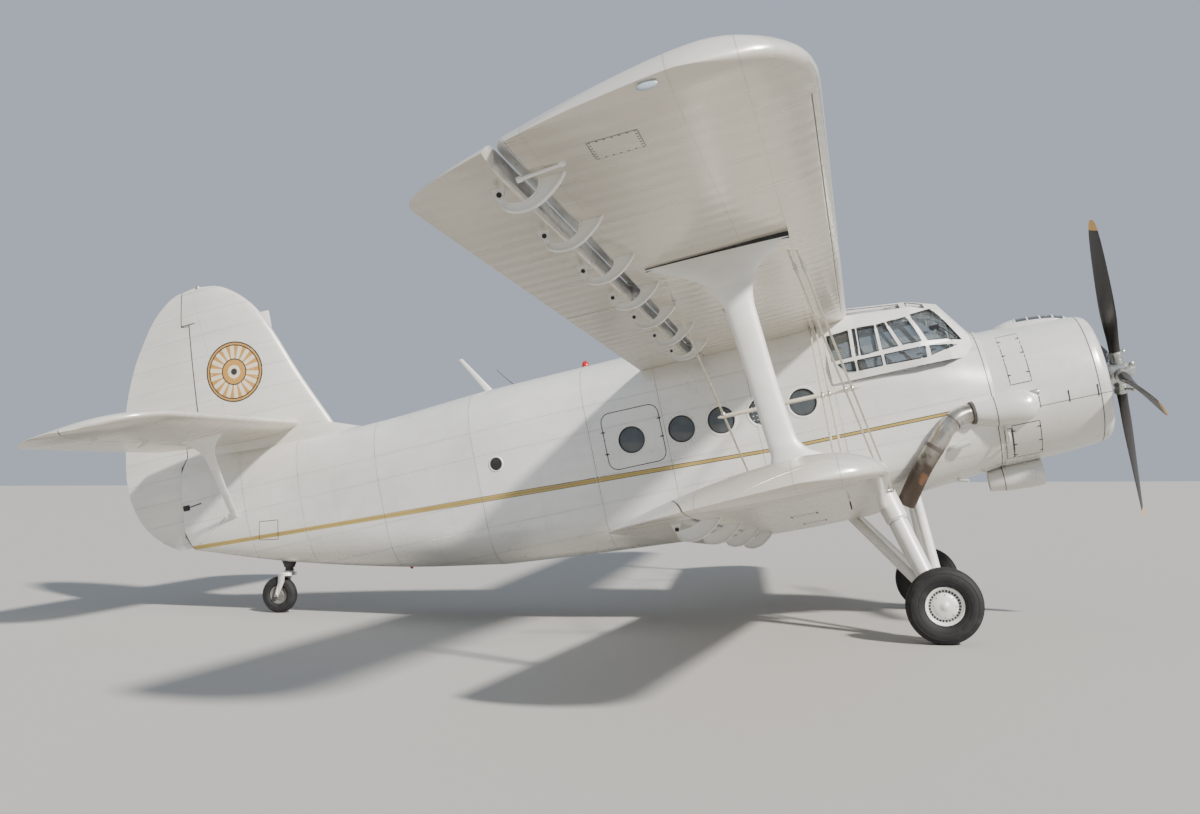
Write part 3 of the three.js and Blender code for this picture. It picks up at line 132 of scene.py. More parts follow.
# Nose of an upper flap or aileron, and a hinge arm's outline, both ahead of and above the hinge
SURFACE_NOSE = [(0.046, 0.03), (0.066, 0.044), (0.082, 0.074), (0.092, 0.11), (0.094, 0.15), (0.086, 0.182),
                (0.07, 0.215)]
HINGE_ARM = [
    (-0.022, 0.0), (-0.01, -0.05), (0.01, -0.095), (0.08, -0.13), (0.18, -0.13), (0.27, -0.095),
    (0.375, -0.02), (0.43, 0.06), (0.43, 0.11),
]
SLAT = {
    "inner": 1.3, "outer": 8.285, "reach": 0.385, "centre": (-0.42, 0.02), "half_length": 0.385,
    "half_height": 0.212,
}
SLAT_TRACKS = [1.7, 3.5, 5.3, 7.1]
HINGES = {"upper": [1.9, 2.98, 4.07, 5.03, 6.12, 7.25, 8.27], "lower": [1.5, 3.1, 4.7, 6.1]}

THRUST_LINE = 2.056
COWL_OUTER = [(1.0906, 0.8), (1.35, 0.796), (1.65, 0.786), (1.9, 0.77), (2.205, 0.74)]
NOSE_RING = [(2.2053, 0.739), (2.255, 0.724), (2.298, 0.694), (2.324, 0.652), (2.336, 0.606), (2.333, 0.574)]
NOSE_LIP = [(2.316, 0.56), (2.276, 0.562), (2.2053, 0.706)]
# Exhaust shroud: station, height and radius of its round sections
SHROUD = [(0.8, 1.92, 0.138), (1.0, 1.895, 0.165), (1.25, 1.89, 0.186), (1.41, 1.885, 0.162),
          (1.51, 1.895, 0.09)]
SHROUD_Y = -0.8
EXHAUST = {"radius": 0.104, "wall": 0.01}
EXHAUST_PATH = [(0.8, -0.88, 1.922), (0.69, -0.915, 1.922), (0.58, -0.955, 1.886), (0.46, -0.99, 1.796),
                (0.37, -1.0, 1.696), (0.125, -0.985, 1.43), (-0.125, -0.885, 1.085)]
COOLER_Z = 1.122
COOLER = [(0.88, 0.118), (1.1, 0.15), (1.4, 0.164), (1.49, 0.158)]
SCOOP = [(1.29, 0.06, 2.846), (1.4, 0.14, 2.89), (1.56, 0.165, 2.914), (1.95, 0.165, 2.878),
         (2.124, 0.15, 2.822)]
PROPELLER = {"x": 2.56, "turn": 17.5, "root": 0.25}
BLADE_SECTIONS = [
    (0.25, 0.124, 0.116, 52), (0.4, 0.15, 0.084, 46), (0.7, 0.232, 0.046, 36), (1.1, 0.258, 0.028, 27),
    (1.5, 0.232, 0.018, 21), (1.7, 0.178, 0.013, 18), (1.78, 0.11, 0.009, 17), (1.8, 0.05, 0.006, 17),
]

RUDDER_AXIS = ((-9.315, 2.37), (-8.91, 5.7))
# Fin and rudder by height: nose, tail edge and greatest thickness
FIN_SECTIONS = [
    (2.335, -8.6, -9.48, 0.15), (2.48, -8.3, -9.7, 0.19), (2.76, -8.0, -9.94, 0.215),
    (3.1, -7.6, -10.06, 0.23), (3.43, -6.64, -10.075, 0.24), (3.56, -7.0, -10.06, 0.24),
    (4.3, -7.345, -9.925, 0.23), (4.87, -7.575, -9.69, 0.21), (5.23, -7.745, -9.46, 0.18),
    (5.47, -7.93, -9.27, 0.15), (5.64, -8.14, -9.06, 0.11), (5.72, -8.3, -8.9, 0.08),
    (5.75, -8.45, -8.75, 0.05), (5.758, -8.54, -8.66, 0.03),
]
RUDDER_NOSE = 0.096
BALANCE = {"low": 3.76, "high": 5.27, "low_radius": 0.3, "high_radius": 0.212}
TAILPLANE = {"z": 3.65, "hinge": -8.6, "radius": 0.092, "inner": 0.3, "hinges": [0.9, 2.0, 3.0]}
TAILPLANE_SECTIONS = [
    (0.06, -7.44, -9.37), (3.05, -7.5, -9.33), (3.33, -7.6, -9.19), (3.5, -7.76, -9.0),
    (3.58, -7.95, -8.79), (3.6, -8.15, -8.6),
]

# Landing gear of the right side: ends of each rod and its radius
GEAR_LEG = ((-0.335, -1.01, 1.24), (-0.04, -1.39, 0.03))
# Share of the way down and radius
GEAR_LEG_STEPS = [(0.0, 0.124), (0.225, 0.124), (0.245, 0.122), (0.252, 0.104), (0.26, 0.101), (0.86, 0.097),
                  (0.96, 0.092), (1.0, 0.08)]
GEAR_BRACES = [((-0.9, -0.64, 1.3), (-0.04, -1.39, 0.01), 0.054),
               ((0.0, -0.59, 1.3), (0.02, -1.39, 0.02), 0.056)]
# Bracing of the right side: ends of each wire, and whether it is a pair
WIRES = [((-0.68, -5.55, 3.33), (-0.25, -0.88, 1.16), True),
         ((-0.705, -0.86, 3.3), (-0.69, -5.3, 1.56), True),
         ((-1.7, -5.45, 3.33), (-1.64, -0.88, 1.14), False)]
WIRE_SPREAD = 0.032
SPREADER = {"rear": -1.73, "front": -0.37, "y": -3.38, "z": 2.32, "radius": 0.02}
TAIL_HEAD = (-7.978, 0.0, 1.779)
TAIL_AXLE = (-0.132, -0.312)
# Panes of the right side of the canopy, as (x, z), of the windscreen, as (y, z), and of the roof, as (x, y)
SIDE_PANES = [
    [(-0.58, 2.812), (-0.345, 2.812), (-0.325, 3.128), (-0.58, 3.118)],
    [(-0.305, 2.812), (-0.268, 2.812), (-0.25, 3.13), (-0.285, 3.13)],
    [(-0.243, 2.812), (-0.04, 2.815), (-0.035, 3.122), (-0.225, 3.132)],
    [(-0.005, 2.818), (0.178, 2.822), (0.082, 3.126), (-0.005, 3.118)],
    [(0.222, 2.822), (0.44, 2.826), (0.325, 3.14), (0.112, 3.128)],
    [(0.5, 2.815), (0.885, 2.768), (0.62, 3.185), (0.378, 3.15)],
    [(-0.52, 2.766), (-0.335, 2.764), (-0.335, 2.652), (-0.43, 2.672)],
    [(-0.298, 2.652), (-0.035, 2.65), (-0.035, 2.762), (-0.298, 2.764)],
    [(0.005, 2.65), (0.458, 2.636), (0.458, 2.758), (0.005, 2.762)],
    [(0.505, 2.642), (0.69, 2.684), (0.82, 2.712), (0.505, 2.752)],
]
WINDSCREEN = [(-0.03, 2.935), (-0.325, 2.928), (-0.405, 3.2), (-0.03, 3.225)]
ROOF_PANES = [(-0.49, 0.3, -0.495, -0.715), (0.375, 0.56, -0.475, -0.66), (0.43, 0.65, -0.04, -0.365)]
TAIL_STRUT = [
    (2.54, -8.48, 0.092, 0.052, -0.18), (2.64, -8.462, 0.096, 0.052, -0.29),
    (3.2, -8.27, 0.12, 0.056, -0.93), (3.4, -8.2, 0.19, 0.06, -1.16),
    (3.49, -8.17, 0.36, 0.066, -1.265), (3.55, -8.155, 0.56, 0.072, -1.33),
    (3.64, -8.15, 0.62, 0.074, -1.4),
]

STRUT_Y = 5.55
STRUT_SECTIONS = [
    (1.56, -0.98, 0.5, 0.15), (1.73, -0.98, 0.44, 0.13), (1.8, -1.03, 0.3, 0.105),
    (1.92, -1.075, 0.228, 0.092), (2.95, -1.165, 0.232, 0.092), (3.12, -1.185, 0.3, 0.096),
    (3.26, -1.215, 0.5, 0.098), (3.37, -1.245, 0.88, 0.092), (3.44, -1.26, 1.18, 0.084),
    (3.6, -1.26, 1.24, 0.084),
]
MAIN_RADIUS = 0.4


def mirrored(half):
    """A section that is the same on both faces, from its outer half."""
    return half + [(-along, radius) for along, radius in half[::-1] if along]


# Sections of the tyres and wheels: distance along the axle and radius, the wheels' outer faces first
MAIN_TYRE = mirrored([
    (-0.074, 0.206), (-0.098, 0.212), (-0.118, 0.236), (-0.131, 0.29), (-0.128, 0.33), (-0.114, 0.362),
    (-0.09, 0.386), (-0.05, 0.3985), (0, 0.4)])
MAIN_DISC = [
    (-0.102, 0), (-0.101, 0.018), (-0.096, 0.024), (-0.094, 0.038), (-0.088, 0.044), (-0.085, 0.07), (-0.078, 0.096),
    (-0.07, 0.12), (-0.058, 0.136), (-0.048, 0.141), (-0.04, 0.143), (-0.036, 0.145), (-0.036, 0.167),
    (-0.062, 0.17), (-0.068, 0.176), (-0.082, 0.186), (-0.088, 0.194), (-0.088, 0.201), (-0.08, 0.205),
    (-0.074, 0.205), (0.074, 0.205), (0.086, 0.205), (0.088, 0.198), (0.078, 0.184), (0.06, 0.15), (0.06, 0.041),
    (-0.04, 0.041), (-0.04, 0),
]
TAIL_TYRE = mirrored([
    (-0.044, 0.1175), (-0.062, 0.13), (-0.07, 0.152), (-0.069, 0.185), (-0.06, 0.21), (-0.044, 0.225),
    (-0.018, 0.2345), (0, 0.235)])
TAIL_DISC = mirrored([
    (-0.042, 0.017), (-0.042, 0.03), (-0.036, 0.034), (-0.036, 0.058), (-0.03, 0.064), (-0.028, 0.086),
    (-0.034, 0.096), (-0.046, 0.104), (-0.048, 0.116), (-0.044, 0.117)]) + [(-0.042, 0.017)]
# The painted disc of rays on the fin
EMBLEM = {"x": -8.2, "z": 4.5, "radius": 0.405, "rays": 18}


# Smooth curves through tables

def smooth_row(rows, station):
    """The row at a station on a smooth curve through rows, which rise by their first number."""
    last = len(rows) - 2
    k = min(max(sum(row[0] <= station for row in rows) - 1, 0), last)
    here, there = rows[k], rows[k + 1]
    before, after = rows[max(k - 1, 0)], rows[min(k + 2, last + 1)]
    span = there[0] - here[0]
    u = (station - here[0]) / span
    row = [station]
    for c in range(1, len(here)):
        slope_here = (there[c] - before[c]) / (there[0] - before[0])
        slope_there = (after[c] - here[c]) / (after[0] - here[0])
        row.append(
            (2 * u ** 3 - 3 * u ** 2 + 1) * here[c] + (u ** 3 - 2 * u ** 2 + u) * span * slope_here
            + (3 * u ** 2 - 2 * u ** 3) * there[c] + (u ** 3 - u ** 2) * span * slope_there)
    return row


def stations(start, end, count):
    """Evenly spaced numbers from start to end."""
    return [start + (end - start) * i / count for i in range(count + 1)]


def angles(count):
    """Even turns round a circle."""
    return [2 * pi * i / count for i in range(count)]


def tilt(axis, degrees):
    """A turn about an axis."""
    return Matrix.Rotation(radians(degrees), 4, axis)


# Meshes

def loft(rings, closed_ends=True):
    """A mesh through rings of the same number of points."""
    bm = bmesh.new()
    rows = [[bm.verts.new(point) for point in ring] for ring in rings]
    for near, far in zip(rows, rows[1:]):
        for i in range(len(near)):
            j = (i + 1) % len(near)
            bm.faces.new((near[i], near[j], far[j], far[i]))
    if closed_ends:
        bm.faces.new(rows[0][::-1])
        bm.faces.new(rows[-1])
    bmesh.ops.remove_doubles(bm, verts=bm.verts, dist=1e-6)
    bmesh.ops.recalc_face_normals(bm, faces=bm.faces)
    return bm


def turned(profile, centre=(0, 0, 0), axis="X", sides=64):
    """A body turned about an axis through centre, from (distance along it, radius) pairs."""
    closed = profile[0] == profile[-1]
    outline = profile[:-1] if closed else profile
    bm = bmesh.new()
    rows = []
    for along, radius in outline:
        ring = []
        for turn in angles(sides):
            a, b = radius * cos(turn), radius * sin(turn)
            point = {"X": (along, a, b), "Y": (b, along, a), "Z": (a, b, along)}[axis]
            ring.append(bm.verts.new(Vector(centre) + Vector(point)))
        rows.append(ring)
    for near, far in zip(rows, rows[1:] + rows[:1] if closed else rows[1:]):
        for i in range(sides):
            j = (i + 1) % sides
            bm.faces.new((near[i], near[j], far[j], far[i]))
    bmesh.ops.remove_doubles(bm, verts=bm.verts, dist=1e-5)
    bmesh.ops.recalc_face_normals(bm, faces=bm.faces)
    return bm


def slab(x0, x1, y0, y1, z0, z1):
    """A box between two corners."""
    bm = bmesh.new()
    bmesh.ops.create_cube(bm, size=1)
    extent = Matrix.Diagonal((x1 - x0, y1 - y0, z1 - z0, 1))
    middle = Matrix.Translation(((x0 + x1) / 2, (y0 + y1) / 2, (z0 + z1) / 2))
    bmesh.ops.transform(bm, matrix=middle @ extent, verts=bm.verts)
    return bm


def rod(start, end, radius, sides=24, end_radius=None):
    """A round or tapered rod between two points."""
    start, end = Vector(start), Vector(end)
    bm = bmesh.new()
    bmesh.ops.create_cone(
        bm, cap_ends=True, segments=sides, radius1=radius, radius2=radius if end_radius is None else end_radius,
        depth=(end - start).length)
    turn = (end - start).to_track_quat("Z", "Y").to_matrix().to_4x4()
    bmesh.ops.transform(bm, matrix=Matrix.Translation((start + end) / 2) @ turn, verts=bm.verts)
    return bm


def ball(centre, radius, stretch=(1, 1, 1)):
    """A rounded knob."""
    bm = bmesh.new()
    bmesh.ops.create_uvsphere(bm, u_segments=20, v_segments=12, radius=radius)
    bmesh.ops.transform(bm, matrix=Matrix.Translation(centre) @ Matrix.Diagonal((*stretch, 1)), verts=bm.verts)
    return bm


def tube(points, radius, sides=20, wall=None):
    """A pipe along points, solid, or hollow with a wall."""
    path = [Vector(point) for point in points]
    radii = radius if isinstance(radius, list) else [radius] * len(path)
    rings, side = [], None
    for i, point in enumerate(path):
        ahead = (path[min(i + 1, len(path) - 1)] - path[max(i - 1, 0)]).normalized()
        side = (side or ahead.orthogonal()) - ahead * (side or ahead.orthogonal()).dot(ahead)
        side = side.normalized()
        across = ahead.cross(side)
        rings.append([point + (side * cos(a) + across * sin(a)) * radii[i] for a in angles(sides)])
    if wall is None:
        return loft(rings)
    inner = [[path[i] + (corner - path[i]) * (1 - wall / radii[i]) for corner in ring]
             for i, ring in enumerate(rings)]
    return loft(rings + inner[::-1] + rings[:1], closed_ends=False)


def curve_points(points, per_span=6):
    """Points on a smooth curve through points."""
    path = [Vector(point) for point in points]
    out = []
    for i in range(len(path) - 1):
        before, here = path[max(i - 1, 0)], path[i]
        there, after = path[i + 1], path[min(i + 2, len(path) - 1)]
        for k in range(per_span):
            u = k / per_span
            out.append(0.5 * (2 * here + (there - before) * u + (2 * before - 5 * here + 4 * there - after) * u ** 2
                              + (3 * here - before - 3 * there + after) * u ** 3))
    return out + [path[-1]]


def joined(*parts):
    """One mesh holding several."""
    whole = bmesh.new()
    for part in parts:
        mesh = bpy.data.meshes.new("part")
        part.to_mesh(mesh)
        part.free()
        whole.from_mesh(mesh)
        bpy.data.meshes.remove(mesh)
    return whole


def moved(bm, matrix):
    """A mesh moved by a matrix and kept right side out."""
    bmesh.ops.transform(bm, matrix=matrix, verts=bm.verts)
    if matrix.determinant() < 0:
        bmesh.ops.reverse_faces(bm, faces=bm.faces)
    return bm


def copied(bm, matrix=LEVEL):
    """A copy of a mesh, moved if a matrix is given."""
    return moved(bm.copy(), matrix)


def combined(first, second, operation="DIFFERENCE"):
    """The mesh that a boolean of two closed meshes leaves. Both are used up."""
    holders = []
    for bm in (first, second):
        mesh = bpy.data.meshes.new("operand")
        bm.to_mesh(mesh)
        bm.free()
        holders.append(bpy.data.objects.new("operand", mesh))
        bpy.context.scene.collection.objects.link(holders[-1])
    modifier = holders[0].modifiers.new("boolean", "BOOLEAN")
    modifier.operation = operation
    modifier.object = holders[1]
    modifier.solver = "EXACT"
    result = bpy.data.meshes.new_from_object(holders[0].evaluated_get(bpy.context.evaluated_depsgraph_get()))
    bm = bmesh.new()
    bm.from_mesh(result)
    bpy.data.meshes.remove(result)
    for holder in holders:
        mesh = holder.data
        bpy.data.objects.remove(holder)
        bpy.data.meshes.remove(mesh)
    return bm


def less(first, *cutters):
    """A mesh cut by each of several closed meshes in turn."""
    for cutter in cutters:
        first = combined(first, cutter)
    return first


def bevelled(bm, width, segments=2, angle=40):
    """A mesh with its sharper edges rounded."""
    edges = [edge for edge in bm.edges
             if len(edge.link_faces) == 2 and edge.calc_face_angle() > radians(angle)]
    bmesh.ops.bevel(bm, geom=edges, offset=width, segments=segments, affect="EDGES", profile=0.5)
    return bm


def surface_of(bm):
    """A search tree over a mesh's faces."""
    return BVHTree.FromBMesh(bm)


def land(tree, start, toward):
    """Where a line first meets a surface, and the surface's normal on the side that it comes from."""
    toward = Vector(toward).normalized()
    spot, normal, *rest = tree.ray_cast(Vector(start), toward)
    if spot is None:
        raise ValueError("a line misses its surface")
    return spot, -normal if normal.dot(toward) > 0 else normal


SUNK = 0.002  # how far a plate or a strip reaches below its surface
PLATE_INSET = 0.0056  # from a corner of an opening to the corner of the plate in it


def plate_on(tree, corners, toward, lift, steps=8):
    """A thin plate inside four corners, laid along a direction onto a surface."""
    corners = [Vector(corner) for corner in corners]
    middle = sum(corners, Vector()) / 4
    corners = [corner + (middle - corner).normalized() * PLATE_INSET for corner in corners]
    rings = []
    for u in stations(0, 1, steps):
        near, far = corners[0].lerp(corners[1], u), corners[3].lerp(corners[2], u)
        row = [land(tree, near.lerp(far, v), toward) for v in stations(0, 1, steps)]
        rings.append([spot + up * lift for spot, up in row] + [spot - up * SUNK for spot, up in row[::-1]])
    return loft(rings)


def ribbon(rim, half, thick):
    """A closed flat strip through (place, normal) pairs, of half width half, that lies thick above them."""
    rings = []
    for i, (point, up) in enumerate(rim):
        side = (rim[(i + 1) % len(rim)][0] - rim[i - 1][0]).cross(up).normalized() * half
        rings.append([point - side - up * SUNK, point + side - up * SUNK, point + side + up * thick,
                      point - side + up * thick])
    return loft(rings + rings[:1], closed_ends=False)


def frame_on(tree, corners, toward, half, lift, steps=10):
    """A thin strip that follows a four-cornered outline laid onto a surface."""
    corners = [Vector(corner) for corner in corners]
    return ribbon([land(tree, start.lerp(end, i / steps), toward)
                   for start, end in zip(corners, corners[1:] + corners[:1]) for i in range(steps)], half, lift)


# Pieces

def body_of_node(node):
    """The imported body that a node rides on."""
    bodies = frame["record"]["behaviour"]["bodies"]
    return next(body for body, nodes in bodies.items() if node in nodes)


def finished(name, mesh, finish, body=None, stands_for=(), slot=None, sharp=32):
    """A finished piece from a mesh that is in its place. NODE_skin and NODE_finish stand for their node."""
    stem, _, kind = name.rpartition("_")
    if not stands_for and kind in ("skin", "finish"):
        stands_for = (stem,)
    mesh.shade_smooth()
    mesh.set_sharp_from_angle(angle=radians(sharp))
    obj = bpy.data.objects.new(name, mesh)
    bpy.context.scene.collection.objects.link(obj)
    mesh.materials.clear()
    mesh.materials.append(finish_of(finish))
    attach(obj, body or (body_of_node(stands_for[0]) if stands_for else "airframe"))
    if stands_for:
        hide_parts(*stands_for)
    slot = slot or LOOKS[finish][0]
    return obj


def each_side(name, finish, local, pose, details):
    """The name, finish, pose and details on each side where a name has a *, or those of the one piece."""
    for side, flip in SIDES.items() if "*" in name else (("", LEVEL),):
        own = {}
        for key, value in details.items():
            if isinstance(value, tuple):
                value = tuple(word.replace("*", side) for word in value)
            own[key] = value.replace("*", side) if isinstance(value, str) else value
        place = AIRFRAME @ flip @ local if pose is None else pose
        yield name.replace("*", side), finish.replace("*", side), place, own


def piece(name, bm, finish, local=LEVEL, pose=None, **details):
    """Turns a mesh, which it uses up, into a piece, or into one on each side, and lists what it made."""
    made = []
    for name, finish, place, own in each_side(name, finish, local, pose, details):
        mesh = bpy.data.meshes.new(name)
        placed = copied(bm, place)
        placed.to_mesh(mesh)
        placed.free()
        made.append(finished(name, mesh, finish, **own))
    bm.free()
    return made


def smoothed(node, finish, sharp=32):
    """A merged and smoothly shaded copy that stands for a node."""
    bm = bmesh.new()
    bm.from_mesh(frame["nodes"][node].data)
    bmesh.ops.remove_doubles(bm, verts=bm.verts, dist=2e-5)
    piece(node + "_finish", bm, finish, pose=LEVEL, sharp=sharp)


# Nodes

def join(tree, socket, value):
    """Sets a socket to a number, a colour or a material, or joins it to a value or to another socket."""
    value = getattr(value, "link", value)
    if isinstance(value, bpy.types.NodeSocket):
        tree.links.new(value, socket)
    elif socket.type == "RGBA" and isinstance(value, tuple):
        socket.default_value = (*value, 1)
    else:
        socket.default_value = value


def add_node(tree, kind, settings=None, inputs=None):
    """Adds a node, sets it up and fills its sockets."""
    node = tree.nodes.new(kind)
    for key, value in (settings or {}).items():
        setattr(node, key, value)
    for key, value in (inputs or {}).items():
        join(tree, node.inputs[key], value)
    return node


# Small forms that repeat, by Geometry Nodes

FORMS = {}
UNITS = {
    "bar": ("Cube", {"Size": (1.0, 1.0, 1.0)}),
    "disc": ("Cylinder", {"Vertices": 28, "Radius": 0.5, "Depth": 1.0}),
    "stud": ("UVSphere", {"Segments": 8, "Rings": 4, "Radius": 0.5}),
}


def form_tree(form, material):
    """Nodes that put a stud, a bar or a disc at every point of a mesh, turned by the point's own angles."""
    key = (form, material.name)
    if key in FORMS:
        return FORMS[key]
    tree = bpy.data.node_groups.new(f"{form} rows in {material.name}", "GeometryNodeTree")
    face = tree.interface
    face.new_socket("Geometry", in_out="INPUT", socket_type="NodeSocketGeometry")
    sizes = []
    for name in ("Length", "Width", "Height"):
        socket = face.new_socket(name, in_out="INPUT", socket_type="NodeSocketFloat")
        socket.subtype = "DISTANCE"
        sizes.append(socket.identifier)
    face.new_socket("Geometry", in_out="OUTPUT", socket_type="NodeSocketGeometry")

    def node(kind, **inputs):
        return add_node(tree, kind, None, inputs).outputs

    given = node("NodeGroupInput")
    scale = node("ShaderNodeCombineXYZ", X=given["Length"], Y=given["Width"], Z=given["Height"])
    kind, shape = UNITS[form]
    unit = node("GeometryNodeMesh" + kind, **shape)
    sized = node("GeometryNodeTransform", Geometry=unit["Mesh"], Scale=scale[0])
    turn = add_node(tree, "GeometryNodeInputNamedAttribute", {"data_type": "FLOAT_VECTOR"}, {"Name": "turn"})
    rotation = node("FunctionNodeEulerToRotation", Euler=turn.outputs["Attribute"])
    placed = node("GeometryNodeInstanceOnPoints", Points=given["Geometry"], Instance=sized[0], Rotation=rotation[0])
    real = node("GeometryNodeRealizeInstances", Geometry=placed[0])
    coated = node("GeometryNodeSetMaterial", Geometry=real[0], Material=material)
    node("NodeGroupOutput", Geometry=coated[0])
    FORMS[key] = (tree, sizes)
    return FORMS[key]


def facing(normal, along=(0, 0, 1)):
    """The angles that turn a form's height to a normal and its length along a direction."""
    up = Vector(normal).normalized()
    length = Vector(along)
    length = length - up * length.dot(up)
    if length.length < 1e-4:
        length = up.orthogonal()
    length = length.normalized()
    across = up.cross(length)
    return Matrix((length, across, up)).transposed().to_euler("XYZ")


def rows_of(name, form, spots, sizes, finish, local=LEVEL, pose=None, **details):
    """A piece, or one on each side, with a form at each spot, which is a place and the angles it is turned by."""
    for name, finish, place, own in each_side(name, finish, local, pose, details):
        tree, sockets = form_tree(form, finish_of(finish))
        mesh = bpy.data.meshes.new(name)
        mesh.from_pydata([place @ Vector(spot) for spot, turn in spots], [], [])
        turns = mesh.attributes.new("turn", "FLOAT_VECTOR", "POINT")
        basis, flip = place.to_3x3(), (MIRROR if place.determinant() < 0 else LEVEL).to_3x3()
        for entry, (spot, turn) in zip(turns.data, spots):
            entry.vector = Vector((basis @ turn.to_matrix() @ flip).to_euler("XYZ"))
        holder = bpy.data.objects.new(name + "_spots", mesh)
        bpy.context.scene.collection.objects.link(holder)
        modifier = holder.modifiers.new("rows", "NODES")
        modifier.node_group = tree
        for socket, value in zip(sockets, sizes):
            modifier[socket] = value
        made = bpy.data.meshes.new_from_object(holder.evaluated_get(bpy.context.evaluated_depsgraph_get()))
        bpy.data.objects.remove(holder)
        bpy.data.meshes.remove(mesh)
        spare = made.attributes.get("turn")
        if spare:
            made.attributes.remove(spare)
        finished(name, made, finish, sharp=40, **own)


# Shaders

def maths(operation, reflected=False):
    """A method that joins a value to another by one Math node."""
    def method(self, other=0.0):
        first, second = (other, self) if reflected else (self, other)
        return self.shader.node("Math", {"operation": operation}, {0: first, 1: second})
    return method


class Value:
    """A shader socket that adds its own Math nodes when it is used in an expression."""

    def __init__(self, shader, link):
        self.shader, self.link = shader, link

    __add__, __radd__ = maths("ADD"), maths("ADD", True)
    __sub__, __rsub__ = maths("SUBTRACT"), maths("SUBTRACT", True)
    __mul__, __rmul__ = maths("MULTIPLY"), maths("MULTIPLY", True)
    __truediv__, __pow__ = maths("DIVIDE"), maths("POWER")
    __lt__, __gt__ = maths("LESS_THAN"), maths("GREATER_THAN")
    __abs__, least, most = maths("ABSOLUTE"), maths("MINIMUM"), maths("MAXIMUM")
    arctan2, pingpong = maths("ARCTAN2"), maths("PINGPONG")

    def off_grid(self, pitch):
        """The distance to the nearest multiple of pitch."""
        return self.pingpong(pitch / 2)


class Shader:
    """A material with one Principled surface, drawn in Object coordinates seen from a pose."""

    def __init__(self, name, pose=AIRFRAME):
        self.material = bpy.data.materials.new(name)
        self.material.use_nodes = True
        self.tree = self.material.node_tree
        self.tree.nodes.clear()
        self.surface = add_node(self.tree, "ShaderNodeBsdfPrincipled")
        add_node(self.tree, "ShaderNodeOutputMaterial", None, {"Surface": self.surface.outputs[0]})
        spot = self.node("TexCoord", output="Object")
        self.place = self.node("Mapping", {"vector_type": "TEXTURE"}, {
            "Vector": spot, "Location": pose.to_translation(), "Rotation": pose.to_euler("XYZ")})
        self.x, self.y, self.z = (self.node("SeparateXYZ", None, {"Vector": self.place}, k) for k in "XYZ")

    def node(self, kind, settings=None, inputs=None, output=0):
        """Adds a node and gives one of its outputs."""
        return Value(self, add_node(self.tree, "ShaderNode" + kind, settings, inputs).outputs[output])

    def mix(self, mask, first, second):
        """The first colour where mask is 0 and the second where it is 1."""
        return self.node("Mix", {"data_type": "RGBA"}, {0: mask, 6: first, 7: second}, 2)

    def underneath(self):
        """1 where the surface faces the ground, 0 where it faces up: the mask of the painted shade on undersides."""
        normal = self.node("NewGeometry", output="Normal")
        return self.ramp(self.node("SeparateXYZ", None, {"Vector": normal}, "Z") * -1, 0.0, 0.7)

    def noise(self, scale, detail=3.0, stretch=(1, 1, 1)):
        """Soft noise from 0 to 1, stretched along the axes."""
        spot = self.node("VectorMath", {"operation": "MULTIPLY"}, {0: self.place, 1: stretch})
        return self.node("TexNoise", None, {"Vector": spot, "Scale": scale, "Detail": detail}, "Fac")

    def ramp(self, value, low, high):
        """0 below low, 1 above high and smooth between."""
        return self.node("MapRange", {"interpolation_type": "SMOOTHSTEP"}, {
            "Value": value, "From Min": low, "From Max": high})

    def line(self, value, at, half):
        """1 on a line where value is at, 0 off it."""
        return abs(value - at) < half

    def bump(self, height, distance):
        """Puts a height, in lengths of distance, on the surface."""
        normal = self.node("Bump", None, {"Height": height, "Distance": distance, "Strength": 1.0})
        join(self.tree, self.surface.inputs["Normal"], normal)

    def finish(self, **sockets):
        """Sets the surface's sockets and gives the material."""
        for name, value in sockets.items():
            join(self.tree, self.surface.inputs[name.replace("_", " ")], value)
        return self.material


FINISHES = {}


def finish_of(name):
    """A finish of the table of looks, made when it is first wanted."""
    if name not in FINISHES:
        slot, make, *details = LOOKS[name]
        FINISHES[name] = make(name, *details)
    return FINISHES[name]


def size(name):
    """A size that the user can change."""
    return getattr(bpy.context.scene.biplane_sizes, name)


def colour(name):
    """A colour that the user can change."""
    return tuple(getattr(bpy.context.scene.biplane_colours, name))[:3]


def shade(base, *shares):
    """A colour darkened by one share, or by a share for each channel."""
    return tuple(channel * share for channel, share in zip(base, shares * 3))


# Stations of the body's ring seams, and heights of its lap seams
NOSE_SEAM = 1.045
BODY_SEAMS = [NOSE_SEAM, -0.62, -1.55, -2.6, -3.5, -4.95, -6.3, -7.455, -8.3]
COWL_SEAMS = {"ring": 2.19, "lap": 1.845, "lap_from": 1.5}
LAP_SEAMS = [1.46, 1.78, 2.1, 2.64, 2.94]
RIVET_PITCH = 0.04  # of the painted rows
STUD_PITCH = 0.045  # of the rows of real studs
ROW_OFFSET = 0.022  # from a ring seam to the rivets beside it
# Stripe: height of its middle, how that rises behind a station, and half widths without and with the edging
STRIPE = {"height": 1.973, "rise_from": -1.2, "slope": 0.037, "curve": 0.0009, "half": 0.0125, "edged": 0.0225}


def stripe_height(shader):
    """The height of the stripe's middle, which rises towards the tail."""
    aft = (shader.x * -1 + STRIPE["rise_from"]).most(0.0)
    return STRIPE["height"] + aft * STRIPE["slope"] + aft * aft * STRIPE["curve"]


